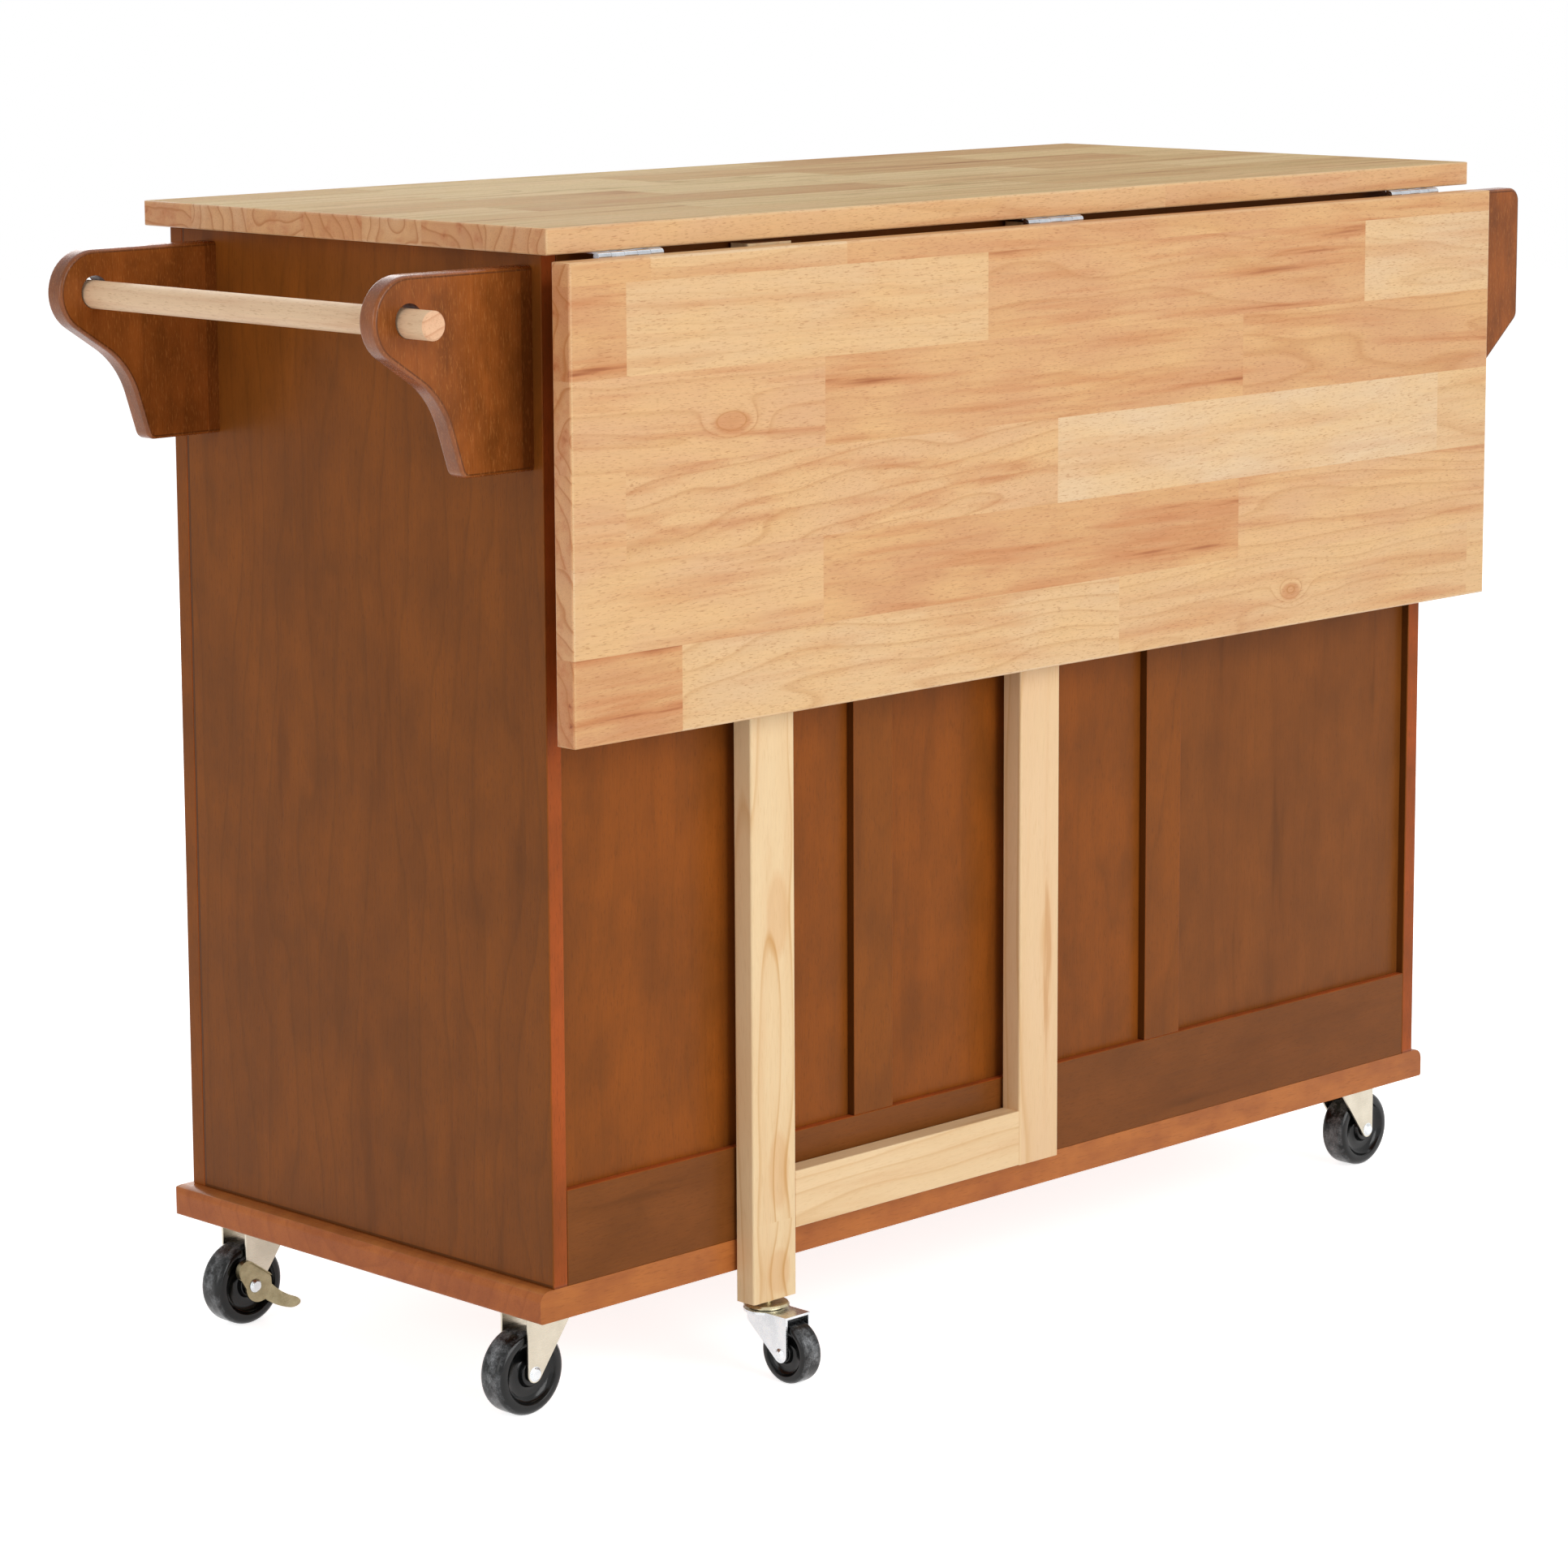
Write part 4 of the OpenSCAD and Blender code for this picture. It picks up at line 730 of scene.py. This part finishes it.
# Satin nickel on turned brass: a soft, slightly warm grey.
knob_nickel = metal("turned_satin_nickel", "CFC9BD", "B3ADA1", roughness=0.28, patch_mm=20,
                    brush_mm=0.35, bump=0.15)
wall_reach = 0.0125    # just past the inner face of a box's 12 mm side wall
for k, level_name in enumerate(("bottom", "middle", "top")):
    body = f"{level_name}_drawer"
    board_piece(f"{body}_face", f"{body}_front", brown_poplar, body, "dark_stain", 0, 0.42, 51 + k,
                width=0)
    bm = clean_copy(f"{body}_box")
    ease(bm, 0.0006)
    rng = random.Random(61 + k)
    lo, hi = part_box(f"{body}_box")
    across = between(bm.faces, 0, wall_reach - hi.x, hi.x - wall_reach)
    lay_grain(bm, [f for f in bm.faces if f not in across], 1, rng, 0.5)
    lay_grain(bm, across, 0, rng, 0.55)
    finish_piece(f"{body}_tray", bm, clear_pine, body, (f"{body}_box",))
    steel_piece(f"{body}_pull", f"{body}_knob", knob_nickel, body, 0)


# ---- Doors --------------------------------------------------------------------------------------
# A stained frame with a flat panel held in its groove, hung on two butt hinges whose knuckles
# stand just proud of the face frame. Stiles run the whole height; the rails meet them square.

door_stile = 0.05      # a stile's width
door_middle = 0.5      # between the lower and the upper rail
for side, seed in (("right", 71), ("left", 72)):
    body = f"{side}_door"
    lo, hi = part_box(f"{side}_door_frame")
    rails_from, rails_to = lo.x + door_stile, hi.x - door_stile
    bm = clean_copy(f"{side}_door_frame")
    ease(bm, 0.001)
    cut_at(bm, 0, rails_from, rails_to)
    rng = random.Random(seed)
    for low, high in ((-far, rails_from), (rails_to, far)):
        lay_grain(bm, between(bm.faces, 0, low, high), 2, rng, 0.45)
    rails = between(bm.faces, 0, rails_from, rails_to)
    for low, high in ((-far, door_middle), (door_middle, far)):
        lay_grain(bm, between(rails, 2, low, high), 0, rng, 0.5)
    finish_piece(f"{side}_door_stiles_and_rails", bm, brown_poplar, body,
                 (f"{side}_door_frame",))
    board_piece(f"{side}_door_field", f"{side}_door_panel", brown_poplar, body, "dark_stain", 2, 0.5,
                seed + 2)
    steel_piece(f"{side}_door_pull", f"{side}_door_knob", knob_nickel, body, 0)
    steel_piece(f"{side}_door_butt_leaves", f"{side}_door_hinge_leaves", hinge_zinc, body,
                0.0002)
steel_piece("door_butt_frame_leaves", "door_hinge_fixed_leaves", hinge_zinc, "cabinet",
            0.0002)


# ---- Worktop ------------------------------------------------------------------------------------
# Solid rubberwood staves 69 mm wide, glued edge to edge and butted end to end, planed, eased and
# oiled. Each stave comes from its own log, so grain and tone change at each joint.

# Rubberwood staves under clear oil: honey tan, short dark pores and faint reddish streaks.
rubberwood = wood(
    "rubberwood_staves", ("E5C69F", "E1BA8B", "DDAF83", "D6A273", "CE9467"),
    ring=(0.013, "BE8048", 0.6, 0.07, 2.6), pore=("AC6A3A", 0.5, 0.0055, 0.0006),
    streak=("C47A48", 0.8, 0.26, 0.014, "8A4420"), cloud=("E8BE84", 0.55, 0.1, 0.035), fibre=0.035,
    gloss=0.36, shine=0.3)
# The same staves with the worktop's thinner oil, duller and a little greener.
oiled_top = wood(
    "rubberwood_top_staves", ("DFC699", "D9BB8C", "D4B183", "CBA476", "BF9468"),
    ring=(0.013, "A28052", 0.7, 0.07, 2.6), pore=("9A7246", 0.5, 0.0055, 0.0006),
    streak=("B08254", 0.8, 0.26, 0.014, "8A5A34"), cloud=("CDB684", 0.5, 0.1, 0.035), fibre=0.04,
    gloss=0.6, shine=0.03)


def stave_board(node, rows, row_axis, staves, seed):
    """Cuts a board's faces into staves along X: rows are the glue lines across row_axis, and each
    row of staves lists its butt joints and tones, both from +X to -X, and what lay_grain is told
    of single staves."""
    bm = clean_copy(node)
    cut_at(bm, row_axis, *rows)
    rng = random.Random(seed)
    limits = (far, *rows, -far)
    for high, low, (joints, tones, grains) in zip(limits, limits[1:], staves):
        for x in joints:
            cut_at(bm, 0, x, faces=between(bm.faces, row_axis, low, high))
        ends = (far, *joints, -far)
        row = between(bm.faces, row_axis, low, high)
        for k, tone in enumerate(tones):
            lay_grain(bm, between(row, 0, ends[k + 1], ends[k]), 0, rng, tone, **grains.get(k, {}))
    return bm


# glue lines and joints in metres, tones 0 pale to 1 deep
top_rows = (0.1608, 0.0918, 0.0228, -0.0462, -0.1152, -0.1842)
back_stave = {"heart": (-0.01, 0.035), "lean": (0.01, 0.02), "figure": 0.5}
top_staves = (
    ((-0.14,), (0.4, 0.5), {0: back_stave, 1: back_stave}),
    ((0.31, -0.08), (0.6, 0.2, 0.75), {1: {"figure": 0.8}}),
    ((0.43, 0.02, -0.35), (0.2, 0.9, 0.4, 0.15), {2: {"figure": 0.7}}),
    ((0.22, -0.23), (0.75, 0.1, 0.55), {0: {"figure": 0.6}}),
    ((0.38, -0.05, -0.44), (0.4, 0.1, 0.85, 0.3), {1: {"figure": 0.8}}),
    ((0.12, -0.3), (0.15, 0.7, 0.3), {}),
    ((0.35, -0.11), (0.6, 0.2, 0.9), {1: {"figure": 0.7}}),
)
top = finish_piece("worktop_staves", stave_board("worktop", top_rows, 1, top_staves, 81), rubberwood,
                   "cabinet", ("worktop",))
second_finish(top, oiled_top, lambda face: face.normal.z > 0.9)


# ---- Drop leaf and its hinges -------------------------------------------------------------------
# A second board of the same staves, hung on three back-flap hinges with 3 mm pins. Its wide face
# shows every stave: butt joints, two small knots, arcs where a stave was cut near the log's heart.

leaf_rows = (0.8785, 0.8093, 0.7405, 0.6715, 0.6038)
leaf_staves = (
    ((0.469, 0.262), (0.78, 0.25, 0.8), {}),
    ((0.494, 0.1027, -0.374), (0.85, 0.22, 0.68, 0.1), {2: {"figure": 0.6}}),
    ((0.2865, -0.212), (0.52, 0.72, 0.72),
     {0: {"knots": (((0.385, 0, 0.767), 0.028, 0.0115),), "figure": 0.5}, 2: {"figure": 0.7}}),
    ((0.496, 0.0195, -0.4787), (0.55, 0.4, 0.0, 0.15),
     {1: {"heart": (0.0, 0.03), "lean": (0.03, 0.12), "figure": 0.7}, 2: {"figure": 0.2}}),
    ((0.289, -0.208), (0.4, 0.82, 0.45), {2: {"figure": 0.6}}),
    ((0.44, -0.0565, -0.5246), (0.95, 0.2, 0.3, 0.28),
     {1: {"heart": (0.0, 0.02), "lean": (-0.02, 0.08), "figure": 0.6},
      2: {"knots": (((-0.2785, 0, 0.5677), 0.018, 0.0105),), "figure": 0.5}}),
)
finish_piece("drop_leaf_staves", stave_board("drop_leaf", leaf_rows, 2, leaf_staves, 82), rubberwood, "leaf",
             ("drop_leaf",))
steel_piece("leaf_hinge_top_flaps", "leaf_hinge_fixed_leaves", hinge_zinc, "cabinet", 0.0003)
steel_piece("leaf_hinge_leaf_flaps", "leaf_hinge_moving_leaves", hinge_zinc, "leaf", 0.0003)
steel_piece("leaf_hinge_pin_rods", "leaf_hinge_pins", hinge_zinc, "cabinet", 0)
# three small screws in a line through each flap, up into the worktop and back into the leaf
hinges_x, flap_screws_x = (-0.469, 0.0, 0.469), (-0.024, 0, 0.024)
for flap, body, facing, y, z in (("top", "cabinet", (0, 0, -1), 0.2163, 0.8986),
                                 ("leaf", "leaf", (0, -1, 0), 0.2334, 0.8815)):
    screws(f"leaf_hinge_{flap}_screws", body, hinge_zinc, facing,
           [(x + dx, y, z) for x in hinges_x for dx in flap_screws_x], radius=0.0035, height=0.0008)


# ---- Gate leg and its caster --------------------------------------------------------------------
# A pine frame: caster leg, pivot stile and two rails doweled between them, hung on two small butt
# hinges at the back rails. The leg stands on its own bright zinc caster.

bm = clean_copy("gate_caster_leg")
leg_knots = (((0.309, 0, 0.372), 0.048, 0.016), ((0.309, 0, 0.167), 0.044, 0.015),
             ((0.309, 0, 0.085), 0.026, 0.017))
# cut midway between its knots, because a face has only the nearest
cut_at(bm, 2, *((upper[0][2] + lower[0][2]) / 2 for upper, lower in zip(leg_knots, leg_knots[1:])))
lay_grain(bm, list(bm.faces), 2, random.Random(91), 0.15, heart=(0.018, 0.012), lean=(0.01, 0.05),
          knots=leg_knots, figure=0.55)
finish_piece("gate_leg_post", bm, clear_pine, "gate", ("gate_caster_leg",))
board_piece("gate_pivot_post", "gate_pivot_stile", clear_pine, "gate", "pine", 2, 0.75, 92, width=0,
            figure=0.6)
board_piece("gate_rail_boards", "gate_rails", clear_pine, "gate", "pine", 0, 0.35, 93, width=0,
            figure=0.5, heart=(0.0, 0.02), lean=(0.02, 0.08))
steel_piece("gate_hinge_rail_flaps", "gate_hinge_fixed_leaves", hinge_zinc, "cabinet", 0.0002)
steel_piece("gate_hinge_stile_flaps", "gate_hinge_moving_leaves", hinge_zinc, "gate", 0.0002)
# Chromated zinc on the stem and its cover disc: brassy, with small paler and duller blotches.
brassy_zinc = metal("brassy_chromate_zinc", "CDC1A0", "B5A988", roughness=0.28, patch_mm=9,
                    brush_mm=0.5, bump=0.06)
steel_piece("gate_caster_stem_and_disc", "gate_caster_stem", brassy_zinc, "gate", 0.0003)
steel_piece("gate_fork_sheet", "gate_caster_fork", zinc_plate, "gate_caster", 0.0005)


# ---- Towel rack ---------------------------------------------------------------------------------
# Two band-sawn stained brackets with routed edges, screwed on from inside, and a loose beech bar
# that lies in their holes. The spice rack's two brackets are cut and stained the same way.

# Solid poplar under the same stain: warmer than the veneer, upright grain with short pale flecks.
# The routed rims took more finish and are glossier.
bracket_poplar, bracket_rim = [wood(
    name, ("A86029", "96501D", "6A3814"), ring=(0.02, "6A340E", 0.5, 0.03, 2),
    pore=("B8763C", 0.4, 0.005, 0.0009), streak=("6A3410", 0.4, 0.08, 0.012, "6A3410"),
    cloud=("6E3A12", 0.8, 0.05, 0.025), fibre=0.06, gloss=gloss, shine=shine)
    for name, gloss, shine in (("poplar_bracket_stain", 0.3, 0.22),
                               ("poplar_bracket_rim_stain", 0.24, 0.45))]
bar_hole_x, bar_hole_z, bar_hole_reach = 0.6475, 0.8565, 0.0145
wall_x = 0.5285       # the side panels' outer faces, which the brackets stand against
wall_shade_x = 0.5395      # painted shade: darker from here to the wall, where the bracket meets the side panel


def in_hole(place):
    """Whether a place is in or at the bar's hole of a towel bracket."""
    return math.hypot(place.x - bar_hole_x, place.z - bar_hole_z) < bar_hole_reach


def outer_edge(edge):
    """Whether the router rounded an edge of a bracket: not across it, at the wall or in the hole."""
    first, second = [v.co for v in edge.verts]
    mid = (first + second) / 2
    across_bracket = abs(first.y - second.y) > 0.001
    at_wall = abs(abs(mid.x) - wall_x) < 0.0005
    return not across_bracket and not at_wall and not in_hole(mid)


for name, side, seed in (("towel_brackets", 1, 101), ("spice_brackets", -1, 102)):
    bm = clean_copy(name)
    ease(bm, 0.0032, 4, wanted=outer_edge)
    cut_at(bm, 0, side * wall_shade_x)
    rng = random.Random(seed)
    for faces in solids(bm):
        lay_grain(bm, faces, 2, rng, 0.38)
    # painted shade towards the wall
    retone(bm, 0.8, lambda f, c: abs(c.x) < wall_shade_x)
    # the deepest tone along the rims' arrises, and painted shade on the walls of the holes
    retone(bm, 1.0, lambda f, c: 0.9 < abs(f.normal.y) < 0.99)
    retone(bm, 1.0, lambda f, c: abs(f.normal.y) < 0.9 and in_hole(c))
    piece = finish_piece(name + "_routed", bm, bracket_poplar, "cabinet", (name,), 40)
    second_finish(piece, bracket_rim, lambda face: abs(face.normal.y) < 0.95 and not in_hole(face.center))

# Steamed beech, oiled: pale pinkish cream with short flecks.
steamed_beech = wood(
    "oiled_beech", ("F2D2AE", "EECCA6", "E6C098"), ring=(0.01, "D2A07A", 0.6, 0.02, 2),
    pore=("B98A5E", 0.4, 0.006, 0.0007), streak=("D8A680", 0.4, 0.1, 0.008, "C4946A"),
    cloud=("EECBA6", 0.5, 0.05, 0.02), fibre=0.03, gloss=0.42, shine=0.3)
board_piece("towel_bar_turned", "towel_bar", steamed_beech, "towel_bar", "pine", 1, 0.4, 103, width=0)


# ---- Spice rack ---------------------------------------------------------------------------------
# A stained shelf between the two left brackets, and a rail that keeps the jars in, 30 mm above
# the shelf's outer edge.

board_piece("spice_shelf_board", "spice_shelf", brown_poplar, "cabinet", "dark_stain", 1, 0.45, 111)
board_piece("spice_jar_rail", "spice_rail", brown_poplar, "cabinet", "dark_stain", 1, 0.4, 112, width=0)
